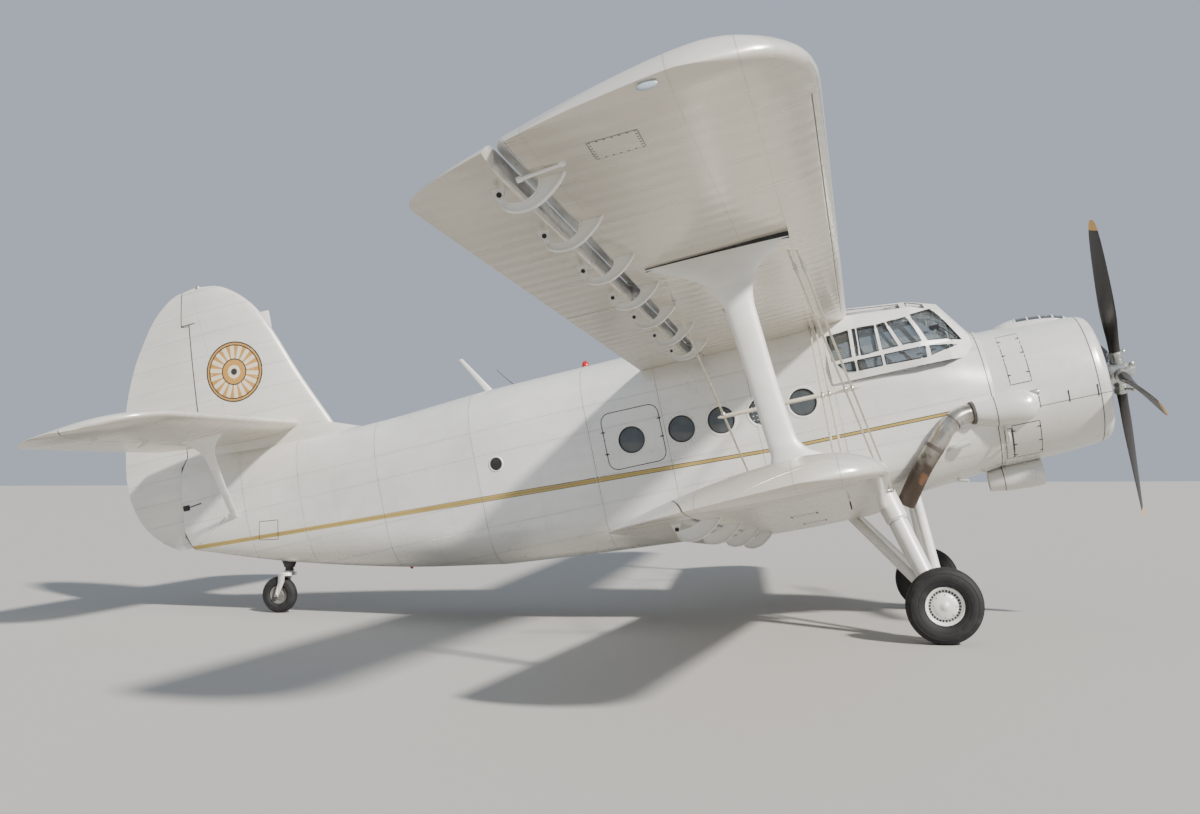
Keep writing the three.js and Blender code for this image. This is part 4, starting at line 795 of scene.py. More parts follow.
def rudder_gap(shader):
    """1 in the gap round the rudder's nose and its balance, 0 elsewhere: where painted shade darkens the gap."""
    (x0, z0), (x1, z1) = RUDDER_AXIS
    lean = (x1 - x0) / (z1 - z0)
    ahead = (shader.x - (shader.z - z0) * lean - x0) * cos(atan(lean))
    off = (ahead * ahead + shader.y * shader.y) ** 0.5
    taper = (BALANCE["high_radius"] - BALANCE["low_radius"]) / (BALANCE["high"] - BALANCE["low"])
    balance = (shader.z > BALANCE["low"] - 0.005) * (shader.z < BALANCE["high"] + 0.005)
    past_nose = off - RUDDER_NOSE
    past_balance = off - ((shader.z - BALANCE["low"]) * taper + BALANCE["low_radius"])
    at_nose = (past_nose > 0.003) * (past_nose < 0.02)
    at_balance = (past_balance > 0.003) * (past_balance < 0.02)
    step = (shader.line(shader.z, BALANCE["low"] - 0.005, 0.008) + shader.line(
        shader.z, BALANCE["high"] + 0.005, 0.008)) * (off > RUDDER_NOSE) * (off < 0.31)
    return ((((1.0 - balance) * at_nose + balance * at_balance) + step) * (ahead > 0) * (shader.x < -8.0)).least(1.0)


def body_paint(name):
    """Pearly paint with ring and lap seams, rivet rows, running dirt and the stripe, with painted shade underneath
    and in the rudder's gap, darker towards the bottom.
    """
    shader = Shader(name)
    base = colour("paint")
    seams = shader.line(shader.x, COWL_SEAMS["ring"], 0.005) + shader.line(shader.x, NOSE_SEAM, 0.005)
    dark_joints_and_gap_shade = seams.least(1.0)
    rows = 0.0
    for at in BODY_SEAMS:
        seams = shader.line(shader.x, at, 0.0035) + seams
        rows = shader.line(shader.x, at + ROW_OFFSET, 0.006) + shader.line(shader.x, at - ROW_OFFSET, 0.006) + rows
    lap = shader.line(shader.z, COWL_SEAMS["lap"], 0.004) * (shader.x > COWL_SEAMS["lap_from"])
    # Near-black marks: the cowl's dark joints, plus painted shade in the gap round the rudder
    dark_joints_and_gap_shade = dark_joints_and_gap_shade.most(lap).most(rudder_gap(shader))
    laps = 0.0
    studs_along = 0.0
    for at in LAP_SEAMS:
        laps = shader.line(shader.z, at, 0.003) + laps
        studs_along = shader.line(shader.z, at - 0.018, 0.006) + studs_along
    behind_nose = shader.x < NOSE_SEAM
    studs = (shader.z.off_grid(RIVET_PITCH) < 0.005) * rows + studs_along * (shader.x.off_grid(RIVET_PITCH) < 0.005)
    seams = seams.least(1.0)
    laps = laps.least(1.0) * behind_nose
    studs = studs.least(1.0) * behind_nose
    quilting = shader.noise(2.4, 1.0, (1.0, 0.2, 1.0))
    off = abs(shader.z - stripe_height(shader))
    aft = (shader.x * -1 - 2.4).most(0.0)
    outside = (abs(shader.y) > 0.905 - aft * aft * aft * 0.005).most(shader.x < -4.94).most(shader.x > -0.62)
    outside = outside * (shader.x < 0.62)
    wide = shader.ramp(shader.x * -1, 1.0, 4.6)
    gold = ((off - wide * 0.015) < STRIPE["half"]) * outside
    edging = ((off - wide * 0.0115) < STRIPE["edged"]) * outside
    cloud = shader.ramp(shader.noise(1.1, 4.0) * 0.6 + shader.noise(9.0, 5.0, (0.35, 1, 1)) * 0.4, 0.32, 0.72)
    runs = shader.ramp(shader.noise(7.0, 4.0, (1.6, 1.0, 0.12)), 0.52, 0.8)
    tone = shader.mix(cloud, shade(base, 0.88), base)
    # Darker towards the bottom, and painted shade in a warm tone where the body faces the ground
    low = shader.ramp(shader.z * -1, -2.0, -1.0)
    tone = shader.mix((low * 0.3).most(shader.underneath() * 0.55), tone, shade(base, 0.72, 0.7, 0.64))
    tone = shader.mix(runs * 0.15, tone, shade(base, 0.62, 0.6, 0.54))
    tone = shader.mix(edging * shader.ramp(shader.x, -7.5, -4.5), tone, colour("edging"))
    tone = shader.mix(gold, tone, shader.mix(cloud, colour("stripe"), shade(colour("stripe"), 0.8)))
    tone = shader.mix((off < 0.0035) * gold * wide * 0.45, tone, colour("edging"))
    grime = shader.ramp(shader.noise(3.0, 4.0), 0.3, 0.6)
    tone = shader.mix(seams * (0.3 + grime * 0.45), tone, shade(base, 0.18))
    tone = shader.mix(dark_joints_and_gap_shade * 0.9, tone, (0.035, 0.033, 0.03))
    tone = shader.mix(laps * (0.15 + grime * 0.3), tone, shade(base, 0.35))
    tone = shader.mix(studs * 0.35, tone, shade(base, 0.45))
    shader.bump(quilting * 0.7 - seams * 0.4 - laps * 0.25, 0.006)
    return shader.finish(
        Base_Color=tone, Roughness=0.26 + cloud * 0.08 + runs * 0.12, Metallic=0.26, Coat_Weight=0.35,
        Coat_Roughness=0.2)


def wing_finish(name, pose, chord, ribs, spars, hinge, faint=1.0, slot_to=0.0):
    """Pearly paint over ribs and spars that show through the covering, with painted shade underneath and in the gap
    round a hinge, and painted streaks of dirt and reflection on bare metal.
    """
    shader = Shader(name, pose)
    out = abs(shader.y)
    rib = out.off_grid(ribs) < 0.007
    tape = 0.0
    for at in spars:
        tape = shader.line(shader.x, -at * chord, 0.004) + tape
    sag = shader.ramp(out.off_grid(ribs), 0.0, ribs / 2)
    seams = (rib * 0.3 + tape) * faint
    axis_x, axis_z, radius = hinge
    ahead, above = shader.x - axis_x, shader.z - axis_z
    past = (ahead * ahead + above * above) ** 0.5 - radius
    gap = (past > 0.002) * (past < 0.0135) * (ahead > 0)
    streak = shader.noise(3.0, 4.0, (0.25, 3.0, 1.0))
    cloud = shader.ramp(shader.noise(0.8, 4.0), 0.35, 0.7)
    base = colour("covering")
    tone = shader.mix(shader.ramp(streak, 0.3, 0.7) * 0.6 + cloud * 0.4, shade(base, 0.84), base)
    tone = shader.mix(seams * 0.4, tone, shade(base, 0.4))
    # Painted shade: a warm darker tone where the covering faces the ground
    tone = shader.mix(shader.underneath() * 0.8, tone, shade(base, 0.8, 0.75, 0.67))
    # Painted shade, near black, in the gap round the hinge
    tone = shader.mix(gap * 0.9, tone, (0.02, 0.02, 0.02))
    shader.bump(seams * 0.5 - sag * 0.8 * faint + streak * 0.35, 0.005)
    k = chord / UPPER["chord"]
    bare = (above > 0.072 * k) * (above < 0.188 * k) * (ahead > 0.03) * (ahead < 0.2 * k) * (out < slot_to)
    # Bare metal ahead of the hinge: painted streaks of dirt and reflection, dark and light
    dirt_and_reflection_streaks = shader.ramp(shader.noise(5.0, 6.0, (1.6, 0.22, 1.6)), 0.36, 0.64)
    tone = shader.mix(bare, tone, shader.mix(dirt_and_reflection_streaks, (0.26, 0.26, 0.27), (0.8, 0.8, 0.79)))
    return shader.finish(
        Base_Color=tone, Roughness=0.22 + streak * 0.14, Metallic=0.34 + bare * 0.4, Coat_Weight=0.35,
        Coat_Roughness=0.14)


def streaky_metal(name, pose):
    """Polished light alloy with long streaks of dirt and reflection along the span."""
    shader = Shader(name, pose)
    streak = shader.ramp(shader.noise(5.0, 6.0, (1.6, 0.22, 1.6)), 0.36, 0.64)
    fine = shader.noise(30.0, 3.0, (1.0, 0.1, 1.0))
    tone = shader.mix(streak, (0.46, 0.46, 0.46), (0.93, 0.93, 0.92))
    shader.bump(streak * 0.6 + fine * 0.3, 0.004)
    return shader.finish(Base_Color=tone, Roughness=0.2 + fine * 0.25, Metallic=0.55)


def plain_paint(name):
    """Pearly paint for struts, fairings and small parts."""
    shader = Shader(name)
    base = colour("paint")
    grain = shader.noise(9.0, 5.0, (0.35, 1, 1))
    cloud = shader.ramp(shader.noise(1.1, 4.0) * 0.6 + grain * 0.4, 0.32, 0.72)
    shader.bump(shader.noise(5.0, 2.0) * 0.2 + shader.noise(240.0, 2.0) * 0.03, 0.004)
    return shader.finish(
        Base_Color=shader.mix(cloud, shade(base, 0.86), base), Roughness=0.34 + grain * 0.14, Metallic=0.12,
        Coat_Weight=0.25, Coat_Roughness=0.22)


def fin_finish(name):
    """Fin and rudder covering with ribs and a painted disc of rays, the same on both sides, with painted shade in the
    gap round the rudder.
    """
    shader = Shader(name)
    base = colour("covering")
    rib = shader.z.off_grid(0.3) < 0.006
    post = shader.line(shader.x + shader.z * 0.12, -7.95, 0.004)
    streak = shader.noise(3.0, 4.0, (0.4, 1.0, 2.4))
    cloud = shader.ramp(shader.noise(0.9, 4.0), 0.35, 0.7)
    tone = shader.mix(shader.ramp(streak, 0.3, 0.7) * 0.5 + cloud * 0.5, shade(base, 0.86), base)
    seams = (rib * 0.7).most(post)
    tone = shader.mix(seams * 0.25, tone, shade(base, 0.45))
    across, up = shader.x - EMBLEM["x"], shader.z - EMBLEM["z"]
    reach = (across * across + up * up) ** 0.5 / EMBLEM["radius"]
    turn = up.arctan2(across)
    rays = (turn * (EMBLEM["rays"] / (2 * pi)) + 64.25).off_grid(1.0)
    inside = reach < 1.0
    wear = shader.ramp(shader.noise(26.0, 5.0), 0.62, 0.72)
    sun = shader.mix(rays * 2 < reach * 0.55 + 0.05, colour("emblem_light"), colour("emblem_warm"))
    sun = shader.mix(reach > 0.86, sun, colour("emblem_dark"))
    sun = shader.mix((reach > 0.9) * (reach < 0.955), sun, colour("emblem_warm"))
    for edge, shown in ((0.44, "dark"), (0.4, "warm"), (0.22, "light"), (0.11, "dark")):
        sun = shader.mix(reach < edge, sun, colour("emblem_" + shown))
    tone = shader.mix(inside * (1.0 - wear * 0.6), tone, sun)
    # Painted shade, near black, in the gap round the rudder's nose and balance
    tone = shader.mix(rudder_gap(shader) * 0.9, tone, (0.02, 0.02, 0.02))
    shader.bump(seams * 0.5 + streak * 0.35, 0.005)
    return shader.finish(Base_Color=tone, Roughness=0.26 + streak * 0.14, Metallic=0.26 - inside * 0.2,
                         Coat_Weight=0.35, Coat_Roughness=0.14)


def burnt_steel(name):
    """Exhaust steel: bright at its elbow, then scorched and rusted towards its outlet."""
    shader = Shader(name)
    patch = shader.noise(7.0, 6.0, (1, 1, 0.6))
    fine = shader.noise(40.0, 4.0)
    low = shader.ramp(shader.z * -1, -1.8, -1.2)
    scorch = shader.ramp(patch * 0.8 + low * 0.5, 0.44, 0.74)
    rust = shader.ramp(shader.noise(4.5, 3.0) + low * 0.12, 0.69, 0.78) * low
    straw = shader.mix(shader.ramp(patch, 0.3, 0.65), (0.32, 0.29, 0.25), (0.62, 0.59, 0.54))
    tone = shader.mix(scorch, straw, (0.07, 0.052, 0.04))
    tone = shader.mix(rust * 0.6, tone, (0.2, 0.085, 0.035))
    shader.bump(patch + rust * 0.4 + fine * 0.2, 0.002)
    return shader.finish(
        Base_Color=tone, Roughness=0.24 + scorch * 0.3 + rust * 0.2, Metallic=0.92 - scorch * 0.35 - rust * 0.45)


def worn(name, clean, dull, patches, grain, rough, metallic=0.0):
    """A plain finish with patches of wear or dirt.

    patches are their noise's scale and detail and the ends of the ramp on it, grain is the fine
    noise's scale, detail and stretch and the bump's depth, and rough is the roughness and what
    the patches add to it.
    """
    shader = Shader(name)
    scale, detail, low, high = patches
    wear = shader.ramp(shader.noise(scale, detail), low, high)
    *fine, depth = grain
    shader.bump(shader.noise(*fine), depth)
    return shader.finish(
        Base_Color=shader.mix(wear, clean, dull), Roughness=rough[0] + wear * rough[1], Metallic=metallic)


def metal(name, tint, roughness):
    """Bare light alloy or dull steel, with fine turning marks and grime."""
    return worn(name, tint, shade(tint, 0.5), (12.0, 5.0, 0.45, 0.75), (150.0, 2.0, (1, 0.1, 0.1), 0.0006),
                (roughness, 0.3), 0.92)


def tinted(name, tint, roughness):
    """Painted or moulded small parts in one tint, a little uneven."""
    return worn(name, tint, shade(tint, 0.7), (20.0, 4.0, 0.45, 0.75), (90.0, 2.0, 0.0006), (roughness, 0.1))


def window_glass(name):
    """Clear glass, a little smoky."""
    shader = Shader(name)
    smear = shader.noise(4.0, 4.0)
    return shader.finish(Base_Color=(0.66, 0.71, 0.73), Roughness=0.01 + smear * 0.04, Transmission_Weight=0.95,
                         IOR=1.5, Coat_Weight=0.8)


def dark_glass(name):
    """Round cabin windows, dark from outside: opaque, their near-black colour is painted shade for the unlit cabin
    behind.
    """
    shader = Shader(name)
    smear = shader.noise(9.0, 4.0)
    tone = shader.mix(smear, (0.035, 0.042, 0.048), (0.085, 0.098, 0.108))
    return shader.finish(Base_Color=tone, Roughness=0.05 + smear * 0.1, Coat_Weight=0.8)


def woven(name, across, pitch, thread, scale, dark, light, roughness):
    """Cloth with a fine weave along x and across it."""
    shader = Shader(name)
    weave = (shader.x.off_grid(pitch) < thread) * 0.5 + (getattr(shader, across).off_grid(pitch) < thread) * 0.5
    tone = shader.mix(shader.noise(scale, 4.0), dark, light)
    shader.bump(weave, thread)
    return shader.finish(Base_Color=tone, Roughness=roughness)


def cooler_matrix(name):
    """Dark honeycomb of a cooler: brown walls, and near-black cells as painted shade inside them."""
    shader = Shader(name)
    cells = (shader.y.off_grid(0.012) < 0.002).most(shader.z.off_grid(0.012) < 0.002)
    shader.bump(cells, 0.004)
    return shader.finish(Base_Color=shader.mix(cells, (0.02, 0.02, 0.02), (0.22, 0.17, 0.1)), Roughness=0.5,
                         Metallic=0.6)


def blade_paint(name):
    """Black blades with ochre tips and worn leading edges."""
    shader = Shader(name, AIRFRAME @ SHAFT)
    reach = abs(shader.y).most(abs(shader.z))
    wear = shader.ramp(shader.noise(30.0, 5.0), 0.5, 0.8)
    tone = shader.mix(wear * 0.5, (0.02, 0.017, 0.015), (0.07, 0.055, 0.045))
    tone = shader.mix(reach > 1.68, tone, colour("blade_tips"))
    shader.bump(shader.noise(60.0, 3.0), 0.0008)
    return shader.finish(Base_Color=tone, Roughness=0.36 + wear * 0.2)


# Each finish: the slot of its pieces, the function that makes it and what that takes
LOOKS = {
    "Body paint": ("white_paint", body_paint),
    "Plain paint": ("white_paint", plain_paint),
    "Fin covering": ("white_paint", fin_finish),
    "Wheel grey": ("white_paint", tinted, (0.16, 0.155, 0.145), 0.4),
    "Cabin grey": ("cabin_grey", worn, (0.1, 0.11, 0.105), (0.16, 0.17, 0.16), (6.0, 5.0, 0.35, 0.7),
                   (80.0, 2.0, 0.001), (0.6, 0.2)),
    "Black paint": ("black_paint", worn, (0.018, 0.018, 0.019), (0.055, 0.053, 0.05), (14.0, 6.0, 0.52, 0.75),
                    (120.0, 2.0, 0.0008), (0.38, 0.25), 0.1),
    "Blade paint": ("black_paint", blade_paint),
    "Cooler matrix": ("black_paint", cooler_matrix),
    "Lamp glass": ("black_paint", tinted, (0.42, 0.5, 0.56), 0.12),
    "Bare metal": ("bare_metal", metal, (0.62, 0.62, 0.6), 0.28),
    "Crankcase grey": ("bare_metal", tinted, (0.105, 0.115, 0.115), 0.4),
    "Steel": ("steel", metal, (0.5, 0.49, 0.47), 0.34),
    "Wire cream": ("steel", tinted, (0.66, 0.61, 0.5), 0.35),
    "Burnt steel": ("burnt_steel", burnt_steel),
    "Scorched steel": ("burnt_steel", tinted, (0.1, 0.085, 0.075), 0.45),
    "Tyre rubber": ("tyre_rubber", worn, (0.011, 0.011, 0.012), (0.033, 0.0315, 0.0305), (11.0, 6.0, 0.5, 0.8),
                    (160.0, 3.0, 0.0012), (0.72, 0.2)),
    "Window glass": ("window_glass", window_glass),
    "Dark glass": (None, dark_glass),
    "Beacon red": (None, tinted, (0.5, 0.015, 0.012), 0.15),
    "Curtain cloth": (None, woven, "y", 0.003, 0.0008, 4.0, (0.55, 0.53, 0.49), (0.72, 0.71, 0.68), 0.85),
    "Seat cloth": ("seat_fabric", woven, "z", 0.004, 0.001, 5.0, (0.035, 0.045, 0.055), (0.075, 0.085, 0.095), 0.9),
}


# Body

def body_ring(row, grow=0.0, steps=14):
    """One section of the body as a ring of points."""
    x, low, high, half, low_in, low_up, high_in, high_up = row
    lower = [(half - low_in + (low_in + grow) * cos(a), low + low_up + (low_up + grow) * sin(a))
             for a in (radians(-90 + 90 * k / steps) for k in range(steps + 1))]
    upper = [(half - high_in + (high_in + grow) * cos(a), high - high_up + (high_up + grow) * sin(a))
             for a in (radians(90 * k / steps) for k in range(steps + 1))]
    side = [(half + grow, lower[-1][1] + (upper[0][1] - lower[-1][1]) * k / 5) for k in range(1, 5)]
    quarter = [(0, low - grow)] + lower + side + upper + [(0, high + grow)]
    return [(x, -y, z) for y, z in quarter] + [(x, y, z) for y, z in quarter[-2:0:-1]]


def body_loft(sections, grow=0.0, front=0.0, rear=0.0, count=24):
    """A closed body through sections, grown outwards, its ends moved by front and rear."""
    rear_end, front_end = sections[0][0], sections[-1][0]
    rings = [body_ring(smooth_row(sections, x), grow) for x in stations(rear_end, front_end, count)]
    rings[0] = [(x + rear, y, z) for x, y, z in rings[0]]
    rings[-1] = [(x + front, y, z) for x, y, z in rings[-1]]
    return loft(rings)


def canopy_loft(grow=0.0, front=0.0, rear=0.0):
    """The canopy's closed form."""
    rings = []
    for x, *corners, crown in CANOPY_SECTIONS:
        half = [(y + grow, z + (grow if k > 2 else 0)) for k, (y, z) in enumerate(corners)]
        rings.append([(x, -y, z) for y, z in half] + [(x, 0, crown + grow)] + [(x, y, z) for y, z in half[::-1]])
    rings[0] = [(x + rear, y, z) for x, y, z in rings[0]]
    rings[-1] = [(x + front, y, z) for x, y, z in rings[-1]]
    return loft(rings)


def rounded_outline(front, rear, low, high, corner, steps=5):
    """Points round a rounded outline in the side view."""
    ring = []
    for x, z, start in ((front - corner, high - corner, 0), (rear + corner, high - corner, 90),
                        (rear + corner, low + corner, 180), (front - corner, low + corner, 270)):
        ring += [(x + corner * cos(radians(start + 90 * k / steps)),
                  z + corner * sin(radians(start + 90 * k / steps))) for k in range(steps + 1)]
    return ring


def side_panel(front, rear, low, high, corner, y0, y1, grow=0.0):
    """A rounded door or window outline in the side view, as a body along y."""
    ring = rounded_outline(front + grow, rear - grow, low - grow, high + grow, corner + grow, 6)
    return loft([[(x, y, z) for x, z in ring] for y in (y0, y1)])


PORTHOLES = [-0.99, -1.46, -1.94, -2.41]
PORTHOLE = {"radius": 0.16, "z": 2.44}
HATCH = {"front": -2.64, "rear": -3.33, "low": 2.13, "high": 2.8, "corner": 0.11}
HATCH_WINDOW = -3.01
CARGO_DOOR = {"front": -2.93, "rear": -4.39, "low": 1.61, "high": 3.09, "corner": 0.09}


def porthole(x, y0, y1):
    """A round window's cutter."""
    return rod((x, y0, PORTHOLE["z"]), (x, y1, PORTHOLE["z"]), PORTHOLE["radius"], 48)


def section_heights(t):
    """Half thickness and camber line of the wing section, per chord."""
    rise = 5 * WING_THICKNESS * (0.2969 * sqrt(t) - 0.126 * t - 0.3516 * t ** 2 + 0.2843 * t ** 3 - 0.1 * t ** 4)
    crest = 0.3
    if t < crest:
        return rise, WING_CAMBER / crest ** 2 * (2 * crest * t - t ** 2)
    return rise, WING_CAMBER / (1 - crest) ** 2 * (1 - 2 * crest + 2 * crest * t - t ** 2)


def aerofoil(nose, chord, thickness=WING_THICKNESS, camber=True, steps=26):
    """A wing section as (x, height) points, from the tail edge over the top and back under."""
    over, under = [], []
    for k in range(steps, 0, -1):
        t = (1 - cos(pi * k / steps)) / 2
        rise, mean = section_heights(t)
        rise *= thickness / WING_THICKNESS
        mean = mean if camber else 0.0
        over.append((nose - t * chord, (mean + rise) * chord))
        under.insert(0, (nose - t * chord, (mean - rise) * chord))
    return over + [(nose, 0.0)] + under


def centre_section(wing, half):
    """The piece of wing that crosses the body."""
    z = wing["nose_z"] + wing["root"] * tan(radians(wing["dihedral"]))
    ring = aerofoil(0, wing["chord"])
    bm = loft([[(x, y, h) for x, h in ring] for y in stations(-half, half, 4)])
    pose = Matrix.Translation((wing["nose_x"], 0, z)) @ tilt("Y", -wing["incidence"])
    return moved(bm, pose)


class BIPLANE_OT_body(bpy.types.Operator):
    """Nose, cabin and tail of the body, with the hatch and the doors"""

    bl_idname = "biplane.body"
    bl_label = "Body"

    def execute(self, context):
        nose = less(body_loft(NOSE_SECTIONS), body_loft(NOSE_SECTIONS, -SKIN, -SKIN, -0.01),
                    canopy_loft(-CANOPY_WALL, -0.06, -0.01))
        piece("nose_skin", nose, "Body paint", stands_for=("nose_shell",))
        cabin = less(
            body_loft(CABIN_SECTIONS, count=36), body_loft(CABIN_SECTIONS, -SKIN, 0.01, -0.15),
            side_panel(**CARGO_DOOR, y0=0.6, y1=1.2, grow=GAP),
            side_panel(**HATCH, y0=-1.2, y1=-0.6, grow=0.0015), *[porthole(x, -1.2, 1.2) for x in PORTHOLES])
        roof = less(centre_section(UPPER, UPPER["root"]), body_loft(NOSE_SECTIONS, 0, 0, 0.001), canopy_loft())
        belly = less(centre_section(LOWER, LOWER["root"]), body_loft(NOSE_SECTIONS))
        roots = [less(part, body_loft(CABIN_SECTIONS, -0.004, 0.3, -0.3)) for part in (roof, belly)]
        piece("cabin_skin", joined(cabin, *roots), "Body paint", stands_for=("cabin_shell",))
        tail = less(body_loft(TAIL_SECTIONS, count=36), rudder_zone(GAP))
        piece("tail_skin", tail, "Body paint", stands_for=("tail_cone",))
        hatch = combined(body_loft(CABIN_SECTIONS), side_panel(**HATCH, y0=-1.2, y1=-0.6), "INTERSECT")
        hatch = less(hatch, body_loft(CABIN_SECTIONS, -SKIN, 0.1, -0.1), porthole(HATCH_WINDOW, -1.2, 0))
        piece("hatch_skin", hatch, "Body paint", stands_for=("escape_hatch",))
        smoothed("cargo_door", "Body paint")
        smoothed("crew_door", "Body paint")
        self.doors()
        self.rivets()
        self.fittings()
        return {"FINISHED"}

    def doors(self):
        """Dark strip round the hatch as painted shade of its gap, clips of the hatch, and the crew door's grip."""
        shell = surface_of(body_loft(CABIN_SECTIONS, count=36))
        rim = [land(shell, (x, -1.6, z), (0, 1, 0)) for x, z in rounded_outline(**HATCH)]
        # A dark strip along the hatch's outline: painted shade of its gap
        piece("hatch_seal", ribbon(rim, 0.005, 0.0012), "Black paint")
        clips = [slab(x - 0.022, x + 0.022, -0.936, -0.922, z - 0.007, z + 0.007)
                 for x, z in ((-3.328, 2.588), (-2.651, 2.406), (-3.328, 2.33), (-2.645, 2.62))]
        piece("hatch_clips", bevelled(joined(*clips), 0.002), "Black paint")
        grip = tube(curve_points([(-3.8, 0.9, 2.3), (-3.8, 0.95, 2.3), (-3.72, 0.956, 2.3), (-3.64, 0.956, 2.3),
                                  (-3.64, 0.904, 2.3)], 4), 0.009, 12)
        piece("door_grip", grip, "Bare metal", body="crew_door")

    def rivets(self):
        """Rivet rows each side of the body's ring seams."""
        spots = []
        for sections, seams in ((NOSE_SECTIONS, (NOSE_SEAM,)), (CABIN_SECTIONS, BODY_SEAMS[2:5]),
                                (TAIL_SECTIONS, BODY_SEAMS[6:])):
            for x in [seam + off for seam in seams for off in (-ROW_OFFSET, ROW_OFFSET)]:
                ring = [Vector(point) for point in body_ring(smooth_row(sections, x))]
                middle = sum(ring, Vector()) / len(ring)
                for point, after in zip(ring, ring[1:] + ring[:1]):
                    if abs(point.y) < 0.12 or point.z < 1.35:
                        continue
                    steps = max(1, round((after - point).length / STUD_PITCH))
                    normal = (after - point).cross(Vector((1, 0, 0)))
                    normal = normal if normal.dot((point + after) / 2 - middle) > 0 else -normal
                    spots += [(point.lerp(after, k / steps), facing(normal, (1, 0, 0))) for k in range(steps)]
        kept = [spot for spot in spots if not self.in_opening(spot[0])]
        rows_of("body_rivets", "stud", kept, (size("rivet"), size("rivet"), 0.004), "Plain paint")

    def in_opening(self, spot):
        """Whether a rivet would lie on the wing root, a window, a hatch or a door."""
        under_wing = -3.0 < spot.x < 0.0 and (spot.z < 1.55 or spot.z > 3.05)
        margin = 0.03
        hatch = (HATCH["rear"] - margin < spot.x < HATCH["front"] + margin
                 and HATCH["low"] - margin < spot.z < HATCH["high"] + margin)
        door = spot.y > 0 and CARGO_DOOR["rear"] - margin < spot.x < CARGO_DOOR["front"] + margin
        return under_wing or hatch or (door and spot.z > 1.5)

    def fittings(self):
        """Aerials, beacon and drain on the body, the cover near the tail with a dark strip of painted shade round it,
        and the small round windows, with black glass as painted shade.
        """
        mast = loft([[(x + reach * cos(a), 0.016 * share * sin(a), z) for a in angles(16)] for x, z, reach, share in (
            (-4.8, 3.42, 0.055, 1.0), (-4.97, 3.7, 0.04, 0.8), (-5.14, 3.975, 0.026, 0.6))])
        foot = loft([[(-4.8 + 0.075 * s * cos(a), 0.035 * s * sin(a), z) for a in angles(20)]
                     for z, s in ((3.435, 1.0), (3.462, 0.9), (3.47, 0.6))])
        piece("aerial_mast", joined(mast, foot), "Plain paint")
        piece("whip_aerial", joined(rod((-4.5, 0.2, 3.44), (-4.75, 0.2, 3.76), 0.006, 8, 0.003),
                                    rod((-4.5, 0.2, 3.42), (-4.5, 0.2, 3.462), 0.022, 14)), "Black paint")
        lens = [(3.47, 0), (3.47, 0.045), (3.52, 0.047), (3.56, 0.04), (3.585, 0.022), (3.592, 0)]
        base = [(3.44, 0), (3.44, 0.062), (3.478, 0.058), (3.48, 0)]
        drop = [(1.545, 0), (1.545, 0.03), (1.51, 0.028), (1.485, 0.014), (1.478, 0)]
        piece("beacon_lens", turned(lens, (-3.55, 0, 0), "Z", 24), "Beacon red")
        piece("beacon_base", turned(base, (-3.55, 0, 0), "Z", 28), "Black paint")
        piece("belly_drain", turned(drop, (-6.27, -0.1, 0), "Z", 20), "Beacon red")
        tail = surface_of(body_loft(TAIL_SECTIONS, count=36))
        corners = [(-8.12, -1, 2.47), (-7.84, -1, 2.44), (-7.9, -1, 2.2), (-8.18, -1, 2.24)]
        piece("tail_cover", plate_on(tail, corners, (0, 1, 0), 0.002), "Body paint")
        # A dark strip round the cover: painted shade of its gap
        piece("tail_cover_gap", frame_on(tail, corners, (0, 1, 0), 0.005, 0.0009), "Black paint")
        cabin = surface_of(body_loft(CABIN_SECTIONS, count=36))
        spot, normal = land(cabin, (-4.69, -1.6, 2.506), (0, 1, 0))
        local = Matrix.Translation(spot) @ normal.to_track_quat("Z", "Y").to_matrix().to_4x4()
        glass = [(-0.01, 0), (-0.01, 0.078), (0.003, 0.078), (0.005, 0)]
        rim = [(-0.012, 0.076), (0.007, 0.078), (0.009, 0.088), (0.004, 0.095), (-0.012, 0.096), (-0.012, 0.076)]
        # The small windows' glass is solid black paint: painted shade of the dark inside
        piece("rear_window_*", turned(glass, axis="Z", sides=32), "Black paint", local)
        piece("rear_window_rim_*", turned(rim, axis="Z", sides=32), "Plain paint", local)


# Sections of a round window's rim and seal: distance out of the wall and past the pane's edge
WINDOW_RIM = [(-0.012, -0.004), (0.005, -0.002), (0.007, 0.006), (0.005, 0.024), (-0.004, 0.027), (-0.012, -0.004)]
WINDOW_SEAL = [(-0.02, -0.018), (-0.004, -0.014), (-0.001, -0.004), (-0.004, 0.001), (-0.02, 0.001),
               (-0.02, -0.018)]


class BIPLANE_OT_windows(bpy.types.Operator):
    """Round cabin windows with their rims and glass"""

    bl_idname = "biplane.windows"
    bl_label = "Cabin windows"

    def execute(self, context):
        panes, rims, seals, screws = [], [], [], []
        r, z = PORTHOLE["radius"], PORTHOLE["z"]
        pane = [(-0.026, 0), (-0.026, r), (-0.018, r), (-0.012, r * 0.5), (-0.01, 0)]
        for x, y in [(x, y) for y in (-0.93, 0.93) for x in PORTHOLES] + [(HATCH_WINDOW, -0.926)]:
            sign = 1 if y > 0 else -1
            panes.append(turned([(y + sign * out, reach) for out, reach in pane], (x, 0, z), "Y", 40))
            for parts, section in ((rims, WINDOW_RIM), (seals, WINDOW_SEAL)):
                parts.append(turned([(y + sign * out, r + past) for out, past in section], (x, 0, z), "Y", 48))
            screws += [((x + (r + 0.015) * cos(a), y + sign * 0.006, z + (r + 0.015) * sin(a)), facing((0, sign, 0)))
                       for a in angles(12)]
        # The cabin windows' glass is opaque and near black: painted shade of the unlit cabin
        piece("cabin_glass", joined(*panes), "Dark glass", slot="window_glass")
        piece("cabin_window_rims", joined(*rims), "Plain paint")
        piece("cabin_window_seals", joined(*seals), "Black paint")
        rows_of("cabin_window_screws", "stud", screws, (0.01, 0.01, 0.004), "Steel")
        return {"FINISHED"}


